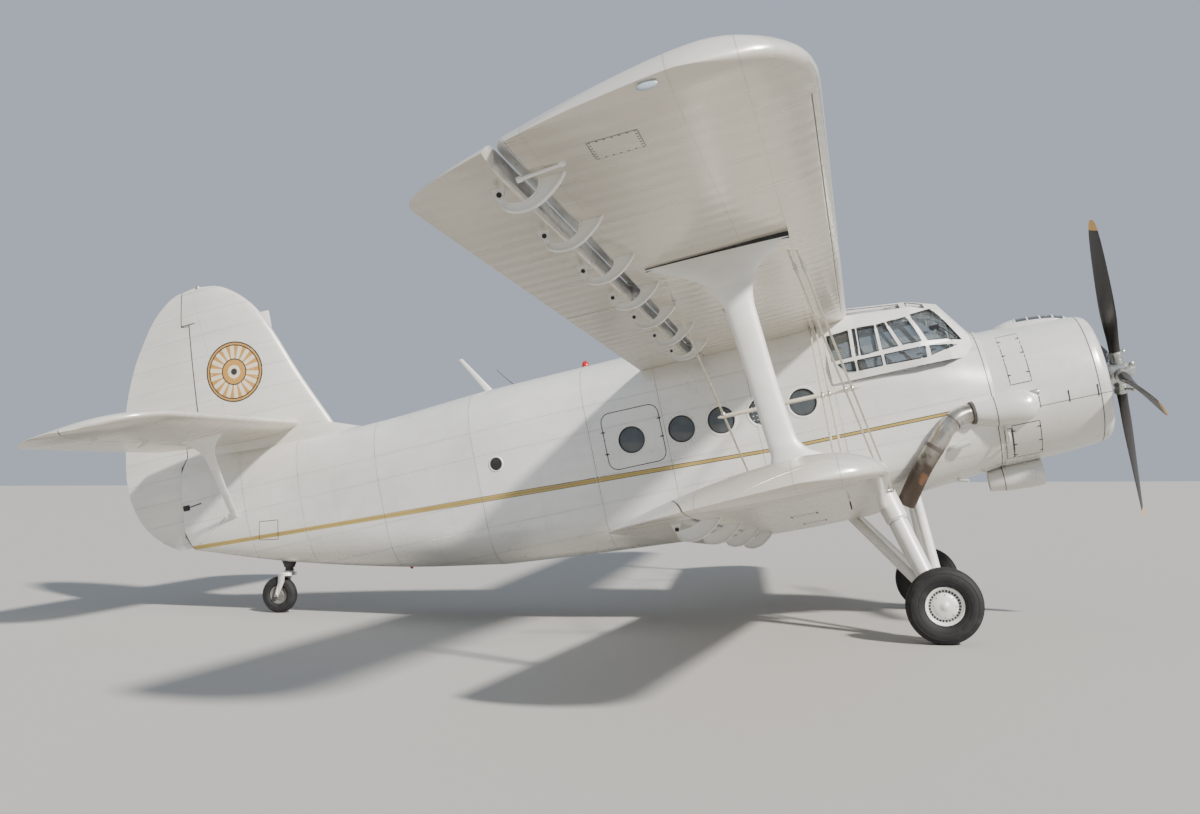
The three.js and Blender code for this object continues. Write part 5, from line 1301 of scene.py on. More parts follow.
class BIPLANE_OT_canopy(bpy.types.Operator):
    """Flight deck canopy: frame, glazing, wipers and sun curtains"""

    bl_idname = "biplane.canopy"
    bl_label = "Canopy"

    def execute(self, context):
        smoothed("canopy_frame", "Plain paint", 14)
        smoothed("canopy_glazing", "Window glass", 14)
        surface = surface_of(canopy_loft())
        panes = [([(x, -1.5, z) for x, z in pane], (0, 1, 0)) for pane in SIDE_PANES]
        panes.append(([(1.6, y, z) for y, z in WINDSCREEN], (-1, 0, 0)))
        for rear, front, inner, outer in ROOF_PANES:
            panes.append(([(rear, inner, 4), (front, inner, 4), (front, outer, 4), (rear, outer, 4)], (0, 0, -1)))
        seals = [frame_on(surface, corners, toward, size("gasket"), 0.0015) for corners, toward in panes]
        piece("pane_seals_*", joined(*seals), "Black paint")
        arm = tube([(0.8, -0.862, 2.8), (0.735, -0.856, 2.88), (0.64, -0.85, 2.965)], 0.006, 8)
        blade = slab(0.56, 0.66, -0.868, -0.858, 2.925, 2.975)
        piece("wiper_*", joined(arm, blade, ball((0.805, -0.866, 2.795), 0.014)), "Black paint")
        self.curtains()
        return {"FINISHED"}

    def curtains(self):
        """A sun curtain each side that sags below the roof pane from two rails."""
        length, across, fall = 0.74, 0.2, 0.055
        steps, turns = 30, 16
        bm = bmesh.new()
        rows = []
        for u in stations(0, 1, steps):
            pleat = 0.008 * sin(u * 2 * pi * 9)
            rows.append([bm.verts.new((-0.47 + length * u, -0.5 - across * v,
                                       3.322 - 0.075 * v - 4 * v * (1 - v) * (fall + pleat)))
                         for v in stations(0, 1, turns)])
        for near, far in zip(rows, rows[1:]):
            for k in range(turns):
                bm.faces.new((near[k], near[k + 1], far[k + 1], far[k]))
        bmesh.ops.recalc_face_normals(bm, faces=bm.faces)
        area = sum(face.calc_area() for face in bm.faces)
        bmesh.ops.solidify(bm, geom=bm.faces[:], thickness=0.0012)
        rails = joined(*[rod((-0.5, y, z), (0.3, y, z), 0.005, 8) for y, z in ((-0.5, 3.324), (-0.7, 3.249))])
        for rail, cloth in zip(piece("curtain_rails_*", rails, "Steel"), piece("curtain_*", bm, "Curtain cloth")):
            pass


class BIPLANE_OT_interior(bpy.types.Operator):
    """Floors, bulkhead, seats and instrument panel"""

    bl_idname = "biplane.interior"
    bl_label = "Interior"

    def execute(self, context):
        for node in ("cabin_floor", "flight_floor", "bulkhead"):
            smoothed(node, "Cabin grey")
        self.seats()
        smoothed("instrument_panel", "Black paint")
        places = [((k - (count - 1) / 2) * 0.125, z) for z, count in ((2.66, 9), (2.54, 8), (2.43, 6))
                  for k in range(count)]
        for name, x, width, thick, finish in (("dials", 0.7575, 0.08, 0.004, "Dark glass"),
                                              ("dial_rims", 0.759, 0.092, 0.003, "Bare metal")):
            spots = [((x, y, z), facing((-1, 0, 0))) for y, z in places]
            rows_of(name, "disc", spots, (width, width, thick), finish)
        return {"FINISHED"}

    def cushion(self, length, width, thick, crown):
        """A rounded pad, lying flat, with a crowned top and a piped edge."""
        bm = bmesh.new()
        bmesh.ops.create_grid(bm, x_segments=18, y_segments=18, size=0.5)
        top = bm.faces[:]
        sides = bmesh.ops.extrude_face_region(bm, geom=top)
        lower = [entry for entry in sides["geom"] if isinstance(entry, bmesh.types.BMVert)]
        for vertex in lower:
            vertex.co.z = -1
        for vertex in bm.verts:
            u, v = vertex.co.x * 2, vertex.co.y * 2
            swell = (1 - u ** 4) * (1 - v ** 4)
            tuft = 0.25 * cos(v * pi * 3) * swell
            high = vertex.co.z > -0.5
            pull = 1 - 0.035 * (u * v) ** 2
            vertex.co = Vector((u * pull * length / 2, v * pull * width / 2,
                                thick / 2 + crown * (swell + tuft) if high else -thick / 2))
        bmesh.ops.recalc_face_normals(bm, faces=bm.faces)
        return bevelled(bm, 0.014, 3, 50)

    def seats(self):
        """A seat each side: two cushions on a pan, a pedestal and rails."""
        y = -0.43
        lean = Matrix.Translation((-0.232, y, 2.68)) @ tilt("Y", 84)
        squabs = piece("squab_*", self.cushion(0.44, 0.42, 0.07, 0.02), "Seat cloth",
                       Matrix.Translation((0.0, y, 2.368)))
        backs = piece("backrest_*", self.cushion(0.52, 0.4, 0.06, 0.018), "Seat cloth", lean)
        bend = [(-0.25, -0.2, 2.32), (-0.285, -0.2, 2.65), (-0.287, -0.19, 2.9), (-0.287, -0.12, 2.952)]
        bend += [(x, -out, z) for x, out, z in bend[::-1]]
        parts = joined(
            bevelled(slab(-0.225, 0.225, y - 0.215, y + 0.215, 2.305, 2.33), 0.006),
            tube(curve_points([(x, y + out, z) for x, out, z in bend], 6), 0.012, 12),
            rod((0, y, 1.952), (0, y, 2.31), 0.045, 24), slab(-0.22, 0.2, y - 0.16, y - 0.13, 1.951, 1.976),
            slab(-0.22, 0.2, y + 0.13, y + 0.16, 1.951, 1.976), slab(-0.03, 0.03, y - 0.16, y + 0.16, 1.955, 1.975))
        piece("seat_frame_*", parts, "Steel", stands_for=("seat_*",))


# Engine

HUB = (0, 0, THRUST_LINE)
COWL_WALL = 0.024
COWL_RADIUS = 0.795
CYLINDERS = 9
CYLINDER_FINS = 13
# The propeller's own axes in the level airframe, x along its shaft
SHAFT = Matrix.Translation((PROPELLER["x"], 0, THRUST_LINE)) @ tilt("X", PROPELLER["turn"])


class BIPLANE_OT_engine(bpy.types.Operator):
    """Radial engine, its cowling, the nose ring and the oil cooler"""

    bl_idname = "biplane.engine"
    bl_label = "Engine and cowling"

    def execute(self, context):
        self.cowling()
        self.seams()
        self.cylinders()
        self.exhaust()
        self.cooler()
        return {"FINISHED"}

    def outer_rows(self):
        """Smooth (station, radius) rows of the cowling."""
        return [tuple(smooth_row(COWL_OUTER, x)) for x in stations(COWL_OUTER[0][0], COWL_OUTER[-1][0], 16)]

    def solid(self, inset=0.0):
        """The closed form of the cowling, to cut others with."""
        rows = self.outer_rows()
        return turned([(rows[0][0], 0)] + [(x, r - inset) for x, r in rows] + [(rows[-1][0], 0)], HUB, "X", 96)

    def clear(self, bm):
        """A mesh cut back to the cowling and the nose."""
        return less(bm, self.solid(-0.001), body_loft(NOSE_SECTIONS, 0.001, 0.002, 0))

    def scoop_arch(self, x):
        """Points over the air scoop at a station, from one side to the other."""
        x, half, top = smooth_row(SCOOP, x)
        return [Vector((x, half * cos(radians(a)), top - 0.075 + 0.075 * sin(radians(a)) ** 0.7))
                for a in range(0, 181, 12)]

    def cowling(self):
        """The cowling with its scoop, and the ring in front of it."""
        outer = self.outer_rows()
        shell = turned(outer + [(x, r - COWL_WALL) for x, r in outer[::-1]] + outer[:1], HUB, "X", 96)
        rings = []
        for x in stations(SCOOP[0][0], SCOOP[-1][0], 20):
            arch = self.scoop_arch(x)
            rings.append([(x, arch[0][1], 2.62)] + arch + [(x, arch[-1][1], 2.62)])
        scoop = less(loft(rings), self.solid(COWL_WALL))
        piece("cowling_skin", joined(shell, scoop), "Body paint", stands_for=("engine_cowling",))
        ring = smooth_profile(NOSE_RING + NOSE_LIP, 36)
        piece("nose_ring_skin", turned(ring + ring[:1], HUB, "X", 96), "Body paint", stands_for=("nose_cowl",))
        stops = [1.56, 1.7, 1.84, 1.98, 2.1]
        panes = [self.over_scoop((near + far) / 2, (far - near) / 2 - 0.01, 0.0012)
                 for near, far in zip(stops, stops[1:])]
        piece("scoop_panes", joined(*panes), "Dark glass")
        piece("scoop_ribs", joined(*[self.over_scoop(x, 0.008, 0.007) for x in stops]), "Plain paint")

    def over_scoop(self, x, half, lift):
        """A band that follows the scoop over its top."""
        middle = Vector((x, 0, smooth_row(SCOOP, x)[2] - 0.09))
        rings = []
        for point, front, rear in zip(*[self.scoop_arch(at)[1:-1] for at in (x, x + half, x - half)]):
            out = (point - middle).normalized()
            rings.append([front - out * 0.004, front + out * lift, rear + out * lift, rear - out * 0.004])
        return loft(rings)

    def seams(self):
        """Gaps of the cowling's panels as dark strips of painted shade, with latches and a handle."""
        shell = surface_of(self.solid())

        def corner(x, angle):
            return (x, -1.4, THRUST_LINE + COWL_RADIUS * cos(radians(angle)))

        def bar(x, angle, along):
            spot, normal = land(shell, corner(x, angle), (0, 1, 0))
            return spot, facing(normal, along)

        # Dark strips along the panels' outlines: painted shade of their gaps
        gaps = [frame_on(shell, [corner(x0, high), corner(x1, high), corner(x1, low), corner(x0, low)], (0, 1, 0),
                         size("panel_gap"), 0.0008)
                for x0, x1, high, low in ((1.27, 1.5, 34, 84), (1.19, 1.495, 117, 154), (1.104, 1.18, 119, 154))]
        clasps = [bar(x, 102, (0, 0, 1)) for x in (1.53, 1.85, 2.165)]
        latches = [bar(x, angle, (1, 0, 0)) for angle in (42, 58, 76, 122, 136, 150)
                   for x in ((1.283, 1.487) if angle < 90 else (1.203, 1.482))]
        piece("cowl_gaps_*", joined(*gaps), "Black paint")
        rows_of("cowl_clasps_*", "bar", clasps, (0.13, 0.011, 0.008), "Black paint")
        rows_of("cowl_latches_*", "bar", latches, (0.038, 0.012, 0.006), "Black paint")
        handle = tube(curve_points([(1.11, -0.68, 1.68), (1.118, -0.762, 1.66), (1.136, -0.772, 1.6),
                                    (1.128, -0.728, 1.54), (1.11, -0.6, 1.5)], 6), 0.015, 16)
        piece("drain_handle", handle, "Plain paint")

    def cylinders(self):
        """Crankcase, cylinders with fins, rocker boxes, push rods and ignition leads."""
        case = [(1.091, 0), (1.091, 0.33), (1.55, 0.34), (2.02, 0.312), (2.08, 0.29), (2.11, 0.262),
                (2.22, 0.19), (2.3, 0.16), (2.33, 0.128), (2.408, 0.12), (2.408, 0)]
        barrels, boxes, rods, fins, studs = [], [], [], [], []
        for turn in angles(CYLINDERS):
            out = Vector((0, sin(turn), cos(turn)))
            side = Vector((0, cos(turn), -sin(turn)))

            def at(x, up, across=0.0):
                return Vector((x, 0, THRUST_LINE)) + out * up + side * across

            for low, high, radius, sides in ((0.3, 0.56, 0.08, 28), (0.56, 0.64, 0.094, 28),
                                             (0.318, 0.336, 0.1, 24)):
                barrels.append(rod(at(1.88, low), at(1.88, high), radius, sides))
            fins += [(at(1.88, 0.35 + i * size("fin_pitch")), facing(out, (1, 0, 0))) for i in range(CYLINDER_FINS)]
            for hand in (-1, 1):
                boxes.append(ball(at(1.94, 0.64, hand * 0.052), 0.046, (1.3, 0.9, 0.9)))
                rods.append(rod(at(2.06, 0.27, hand * 0.034), at(1.95, 0.64, hand * 0.052), 0.011, 12))
                rods.append(tube(curve_points([at(2.18, 0.285, hand * 0.02), at(2.11, 0.42, hand * 0.085),
                                               at(1.88, 0.6, hand * 0.088)], 4), 0.006, 8))
                studs.append((at(2.084, 0.272 * cos(0.175), hand * 0.272 * sin(0.175)), facing((1, 0, 0))))
        ring = [(2.168 + 0.016 * cos(a), 0.285 + 0.016 * sin(a)) for a in angles(12)] + [(2.184, 0.285)]
        piece("crankcase_skin", turned(case, HUB, "X", 72), "Crankcase grey", stands_for=("engine",))
        piece("cylinder_barrels", joined(*barrels), "Bare metal")
        piece("rocker_boxes", joined(*boxes), "Black paint")
        piece("push_rods", joined(*rods), "Bare metal")
        piece("ignition_ring", turned(ring, HUB, "X", 64), "Bare metal")
        rows_of("cylinder_fins", "disc", fins, (0.205, 0.205, 0.007), "Bare metal")
        rows_of("crankcase_nuts", "stud", studs, (0.026, 0.026, 0.024), "Steel")

    def exhaust(self):
        """Shroud, exhaust pipe, its collars and the small pipes below."""
        rows = [smooth_row(SHROUD, x) for x in stations(SHROUD[0][0], SHROUD[-1][0], 28)]
        rings = [[(x, SHROUD_Y + r * cos(a), z + r * sin(a)) for a in angles(40)] for x, z, r in rows]
        bulge = ball((1.352, -0.838, 1.905), 0.15, (0.98, 0.86, 0.98))
        piece("exhaust_shroud_skin", self.clear(combined(loft(rings), bulge, "UNION")), "Body paint")
        path = curve_points(EXHAUST_PATH, 8)
        piece("exhaust_pipe_skin", tube(path, EXHAUST["radius"], 48, EXHAUST["wall"]), "Burnt steel")
        bands = [tube([path[0] + Vector((0.004, 0, 0)), path[0] + Vector((-0.024, -0.006, 0))], [0.132, 0.126], 40)]
        bands += [tube([path[at], path[at + 1]], EXHAUST["radius"] + 0.004, 40) for at in (17, 34)]
        piece("exhaust_bands", joined(*bands), "Scorched steel")
        cup = [(1.44, 0.03), (1.532, 0.034), (1.54, 0.03), (1.536, 0.026), (1.47, 0.016), (1.468, 0)]
        piece("air_intake_cup", turned(cup, (0, -0.812, 2.005), "X", 24), "Bare metal")
        stub = curve_points([(0.42, -0.77, 1.572), (0.52, -0.858, 1.59), (0.7, -0.892, 1.618)], 6)
        small = curve_points([(0.5, -0.34, 1.235), (0.56, -0.385, 1.205), (0.63, -0.42, 1.188)], 5)
        piece("breather_pipes", joined(tube(stub, 0.036, 24, 0.006), tube(small, 0.016, 16, 0.004)), "Plain paint")

    def cooler(self):
        """Oil cooler below the cowling, with its matrix behind an open mouth."""
        place = (0, 0, COOLER_Z)
        rows = [tuple(smooth_row(COOLER, x)) for x in stations(COOLER[0][0], COOLER[-1][0], 20)]
        (rear, rear_r), (front, front_r) = rows[0], rows[-1]
        profile = [(rear + 0.05, 0), (rear + 0.05, rear_r - 0.012), (rear, rear_r - 0.01)] + rows + [
            (front + 0.006, front_r - 0.006), (front, front_r - 0.012), (front - 0.06, front_r - 0.014),
            (front - 0.06, 0)]
        piece("oil_cooler_skin", self.clear(turned(profile, place, "X", 72)), "Body paint")
        outer = smooth_row(COOLER, 1.31)[1]
        seam = [(1.304, outer - 0.004), (1.304, outer + 0.0035), (1.318, outer + 0.0035), (1.318, outer - 0.004),
                (1.304, outer - 0.004)]
        piece("cooler_band", self.clear(turned(seam, place, "X", 72)), "Plain paint")
        core = [(front - 0.059, 0), (front - 0.059, front_r - 0.016), (front - 0.054, front_r - 0.016),
                (front - 0.054, 0)]
        piece("cooler_matrix", less(turned(core, place, "X", 48), self.solid(-0.001)), "Cooler matrix")


class BIPLANE_OT_propeller(bpy.types.Operator):
    """Four-bladed propeller and its hub"""

    bl_idname = "biplane.propeller"
    bl_label = "Propeller"

    def execute(self, context):
        rings = []
        for radius, chord, thick, pitch in (
                smooth_row(BLADE_SECTIONS, r) for r in stations(BLADE_SECTIONS[0][0], BLADE_SECTIONS[-1][0], 44)):
            beta = radians(pitch)
            ring = []
            for a in angles(24):
                along, across = chord / 2 * cos(a), thick / 2 * sin(a)
                ring.append((along * sin(beta) + across * cos(beta), -along * cos(beta) + across * sin(beta), radius))
            rings.append(ring)
        blade = loft(rings)
        hub = [turned([(-0.151, 0), (-0.151, 0.1), (-0.09, 0.13), (0.07, 0.13), (0.11, 0.095), (0.15, 0.07),
                       (0.19, 0.04), (0.19, 0)], sides=40)]
        arm = joined(
            rod((0, 0, 0.06), (0, 0, PROPELLER["root"]), 0.072, 28),
            turned([(0.205, 0), (0.205, 0.088), (0.235, 0.088), (0.235, 0)], axis="Z", sides=32),
            turned([(0.14, 0), (0.14, 0.082), (0.155, 0.082), (0.155, 0)], axis="Z", sides=32),
            rod((0.02, 0.05, 0.19), (0.11, 0.115, 0.2), 0.018, 12), ball((0.115, 0.12, 0.2), 0.034, (1, 1, 0.8)))
        for k in range(4):
            piece(f"blade_{k + 1}_skin", copied(blade), "Blade paint", SHAFT @ tilt("X", -90 * k))
            hub.append(copied(arm, tilt("X", -90 * k)))
        blade.free()
        arm.free()
        piece("propeller_hub_skin", joined(*hub), "Bare metal", SHAFT)
        return {"FINISHED"}


# Wings

def wing_pose(wing):
    """The right wing's own axes in the level airframe."""
    return (Matrix.Translation((wing["nose_x"], 0, wing["nose_z"]))
            @ tilt("X", -wing["dihedral"]) @ tilt("Y", -wing["incidence"]))


def wing_solid(wing):
    """The whole right wing in its own axes."""
    scale = wing["chord"] / UPPER["chord"]
    tip_start = wing["semi_span"] - TIP[-1][0] * scale
    rings = [[(x, -y, z) for x, z in aerofoil(0, wing["chord"])]
             for y in stations(wing["root"] - 0.03, tip_start, 40)[:-1]]
    for inboard, nose, tail, thick in (smooth_row(TIP, s) for s in stations(TIP[-1][0], 0, 26) + [TIP[0][0]]):
        y = wing["semi_span"] - inboard * scale
        rings.append([(x, -y, z) for x, z in aerofoil(-nose * scale, (tail - nose) * scale, thick)])
    return loft(rings)


def at_hinge(wing, outline, y0, y1):
    """A flat shape in a hinge's section, given for the upper wing, as a body along the span."""
    k = wing["chord"] / UPPER["chord"]
    return loft([[(-wing["hinge_at"] + x * k, y, -wing["hinge_drop"] + z * k) for x, z in outline] for y in (y0, y1)])


def smooth_path(points, per_span=4):
    """A smooth curve through points of a plane."""
    return [(point.x, point.z) for point in curve_points([(x, 0, z) for x, z in points], per_span)]


def under_slot(wing, inner, outer):
    """The open slot under the wing, ahead of the nose of a flap or an aileron."""
    return at_hinge(wing, smooth_path(SURFACE_NOSE) + [(0.4, 0.215), (0.4, -0.3), (0.046, -0.3)],
                    -outer - 0.05, -inner + 0.05)


def slot_lining(wing, whole, inner, outer):
    """The thin metal wall of the wing ahead of the slot."""
    x, z = -wing["hinge_at"], -wing["hinge_drop"]
    y0, y1 = -outer - GAP, -inner + GAP
    radius = wing["hinge_radius"] + GAP
    wall = less(rod((x, y0, z), (x, y1, z), radius + 0.001, 72),
                rod((x, y0 - 1, z), (x, y1 + 1, z), radius - 0.003, 72))
    ahead = slab(x + 0.02, x + 0.5, y0, y1, -0.6, 0.6)
    return combined(combined(copied(whole), wall, "INTERSECT"), ahead, "INTERSECT")


def hinged_zone(wing, inner, outer, grow):
    """What lies behind a hinge line, or within a radius of it, between two stations."""
    y0, y1 = -outer - grow, -inner + grow
    aft = slab(-wing["chord"] - 0.2, -wing["hinge_at"], y0, y1, -0.6, 0.6)
    nose = rod((-wing["hinge_at"], y0, -wing["hinge_drop"]), (-wing["hinge_at"], y1, -wing["hinge_drop"]),
               wing["hinge_radius"] + grow, 72)
    return combined(aft, nose, "UNION")


def slat_zone(grow):
    """What lies ahead of the fixed nose, which is an ellipse in section."""
    y0, y1 = -SLAT["outer"] - grow, -SLAT["inner"] + grow
    shape = Matrix.Diagonal((SLAT["half_length"] - grow, 1, SLAT["half_height"] - grow, 1))
    place = Matrix.Translation((SLAT["centre"][0], 0, SLAT["centre"][1]))
    fixed = moved(rod((0, y0 - 0.01, 0), (0, y1 + 0.01, 0), 1, 96), place @ shape)
    return less(slab(-SLAT["reach"] - grow, 0.2, y0, y1, -0.4, 0.4), fixed)


def hinge_arm(wing, y):
    """A sickle-shaped arm: a flat web with a flange along each edge."""
    k = wing["chord"] / UPPER["chord"]
    outline = HINGE_ARM + wing["arm"] + [(0.022, 0.0), (0.0, 0.022)]
    web = at_hinge(wing, smooth_path(outline + outline[:1], 3)[:-1], -y - 0.004, -y + 0.004)
    x, z = -wing["hinge_at"], -wing["hinge_drop"]
    parts = [web, rod((x, -y - 0.007, z), (x, -y + 0.007, z), 0.027 * k, 28)]
    for edge in (HINGE_ARM[1:8], wing["arm"][1:]):
        path = smooth_path(edge, 5)
        rings = []
        for (ahead, up), (x0, z0), (x1, z1) in zip(path, path[:1] + path, path[1:] + path[-1:]):
            reach = hypot(x1 - x0, z1 - z0) / 0.007
            rings.append([(x + (ahead - (z1 - z0) / reach * depth) * k, -y + out * 0.021,
                           z + (up + (x1 - x0) / reach * depth) * k)
                          for depth, out in ((0, -1), (0, 1), (1, 1), (1, -1))])
        parts.append(loft(rings))
    return joined(*parts)


def hinge_lugs(wing, y):
    """The pair of lugs that a surface turns on, under its skin."""
    outline = [(-0.055, 0.075), (-0.024, -0.01), (-0.016, -0.021), (0.0, -0.026), (0.016, -0.021), (0.024, -0.01),
               (0.05, 0.075)]
    return joined(*[at_hinge(wing, outline, -y + start, -y + start + 0.007) for start in (-0.015, 0.008)])


def hinge_bolt(wing, y):
    """The dark bolt through a hinge."""
    x, z = -wing["hinge_at"], -wing["hinge_drop"]
    ends = ((-0.03, 0.03, 0.009, 12), (0.016, 0.024, 0.017, 6), (-0.025, -0.016, 0.017, 6))
    return joined(*[rod((x, -y + start, z), (x, -y + end, z), radius, sides) for start, end, radius, sides in ends])


class BIPLANE_OT_wings(bpy.types.Operator):
    """Upper and lower wings with their slats, flaps and ailerons"""

    bl_idname = "biplane.wings"
    bl_label = "Wings"

    def execute(self, context):
        self.build("upper", UPPER)
        self.build("lower", LOWER)
        return {"FINISHED"}

    def build(self, prefix, wing):
        """One wing's pieces."""
        local = wing_pose(wing)
        x, z = -wing["hinge_at"], -wing["hinge_drop"]
        for side, flip in SIDES.items():
            drawn = AIRFRAME @ flip @ local @ flip
            LOOKS[f"{prefix} wing {side}"] = (
                "white_paint", wing_finish, drawn, wing["chord"], RIB_PITCH, SPARS,
                (x, z, wing["hinge_radius"]), 1.0, wing["slot_to"])
            LOOKS[f"{prefix} slot {side}"] = ("bare_metal", streaky_metal, drawn)
        skin = f"{prefix} wing *"
        whole = wing_solid(wing)
        fixed = copied(whole)
        linings = []
        for surface, (inner, outer) in wing["surfaces"].items():
            moving = combined(copied(whole), hinged_zone(wing, inner, outer, 0), "INTERSECT")
            fixed = less(fixed, hinged_zone(wing, inner, outer, GAP))
            linings.append(slot_lining(wing, whole, inner, outer))
            lugs = [hinge_lugs(wing, y) for y in HINGES[prefix] if inner < y < outer]
            piece(f"{surface}_*_skin", less(moving, under_slot(wing, inner, outer)), skin, local)
            piece(f"{surface}_*_lugs", joined(*lugs), "Plain paint", local, body=f"{surface}_*")
        if prefix == "upper":
            rails = [slab(-0.22, -0.03, -y - 0.008, -y + 0.008, 0.004, 0.036) for y in SLAT_TRACKS]
            piece("slat_*_skin", joined(combined(copied(whole), slat_zone(0), "INTERSECT"), *rails), skin, local)
            fixed = less(fixed, slat_zone(GAP / 2))
            push_rod = [rod((x + 0.15, -8.42, z + 0.004), (x + 0.42, -8.42, z + 0.016), 0.012, 16),
                        rod((x + 0.15, -8.42, z + 0.004), (x + 0.185, -8.42, z + 0.006), 0.018, 16),
                        ball((x + 0.425, -8.42, z + 0.022), 0.024)]
            piece("aileron_rod_*", joined(*push_rod), "Plain paint", local)
            lamp = ball((-0.87, -9.06, -0.03), 0.03, (1.9, 0.5, 0.8))
            piece("upper_wing_fitting_*", lamp, "Lamp glass", local)
        else:
            ring = [(0.006 * cos(a), 0.03 + 0.006 * sin(a)) for a in angles(10)] + [(0.006, 0.03)]
            piece("lower_wing_fitting_*", turned(ring, (-0.32, -5.13, -0.112), "X", 28), "Black paint", local)
        whole.free()
        under = surface_of(fixed)
        piece(f"{prefix}_wing_*_skin", fixed, skin, local)
        piece(f"{prefix}_slot_wall_*", joined(*linings), f"{prefix} slot *", local)
        piece(f"{prefix}_brackets_*", joined(*[hinge_arm(wing, y) for y in HINGES[prefix]]), "Plain paint", local)
        piece(f"{prefix}_hinge_bolts_*", joined(*[hinge_bolt(wing, y) for y in HINGES[prefix]]), "Black paint", local,
              slot="steel")
        panels, gaps, screws = self.under_panels(prefix, under)
        piece(f"{prefix}_panels_*", joined(*panels), skin, local)
        piece(f"{prefix}_panel_gaps_*", joined(*gaps), "Black paint", local)
        rows_of(f"{prefix}_screws_*", "stud", screws, (0.014, 0.014, 0.006), "Black paint", local, slot="steel")

    def under_panels(self, prefix, under):
        """Access panels under a wing, with a dark strip of painted shade in the gap and the screws round each."""
        places = {"upper": [(-1.31, -1.02, -8.6, -8.32), (-1.18, -0.98, -3.3, -3.08), (-1.18, -0.98, -1.75, -1.53)],
                  "lower": [(-0.86, -0.62, -4.2, -3.94), (-0.86, -0.62, -2.3, -2.04)]}[prefix]
        panels, gaps, screws = [], [], []
        for x0, x1, y0, y1 in places:
            corners = [Vector(corner) for corner in ((x0, y0, -1), (x1, y0, -1), (x1, y1, -1), (x0, y1, -1))]
            panels.append(plate_on(under, corners, (0, 0, 1), 0.0015))
            # Dark strip round the panel: painted shade of its gap
            gaps.append(frame_on(under, corners, (0, 0, 1), size("panel_gap") * 0.5, 0.0008))
            middle = (corners[0] + corners[2]) / 2
            for start, end in zip(corners, corners[1:] + corners[:1]):
                for i in range(6):
                    spot, normal = land(under, start.lerp(end, i / 6).lerp(middle, 0.09), (0, 0, 1))
                    screws.append((spot + normal * 0.001, facing(normal)))
        return panels, gaps, screws


# Struts and bracing

def faired(sections, y=0.0, sides=32, count=48):
    """A streamlined strut as ellipses along z."""
    rings = []
    for z, x, chord, thick, *shift in (
            smooth_row(sections, z) for z in stations(sections[0][0], sections[-1][0], count)):
        out = y + (shift[0] if shift else 0)
        rings.append([(x + chord / 2 * cos(a), out + thick / 2 * sin(a), z) for a in angles(sides)])
    return loft(rings)


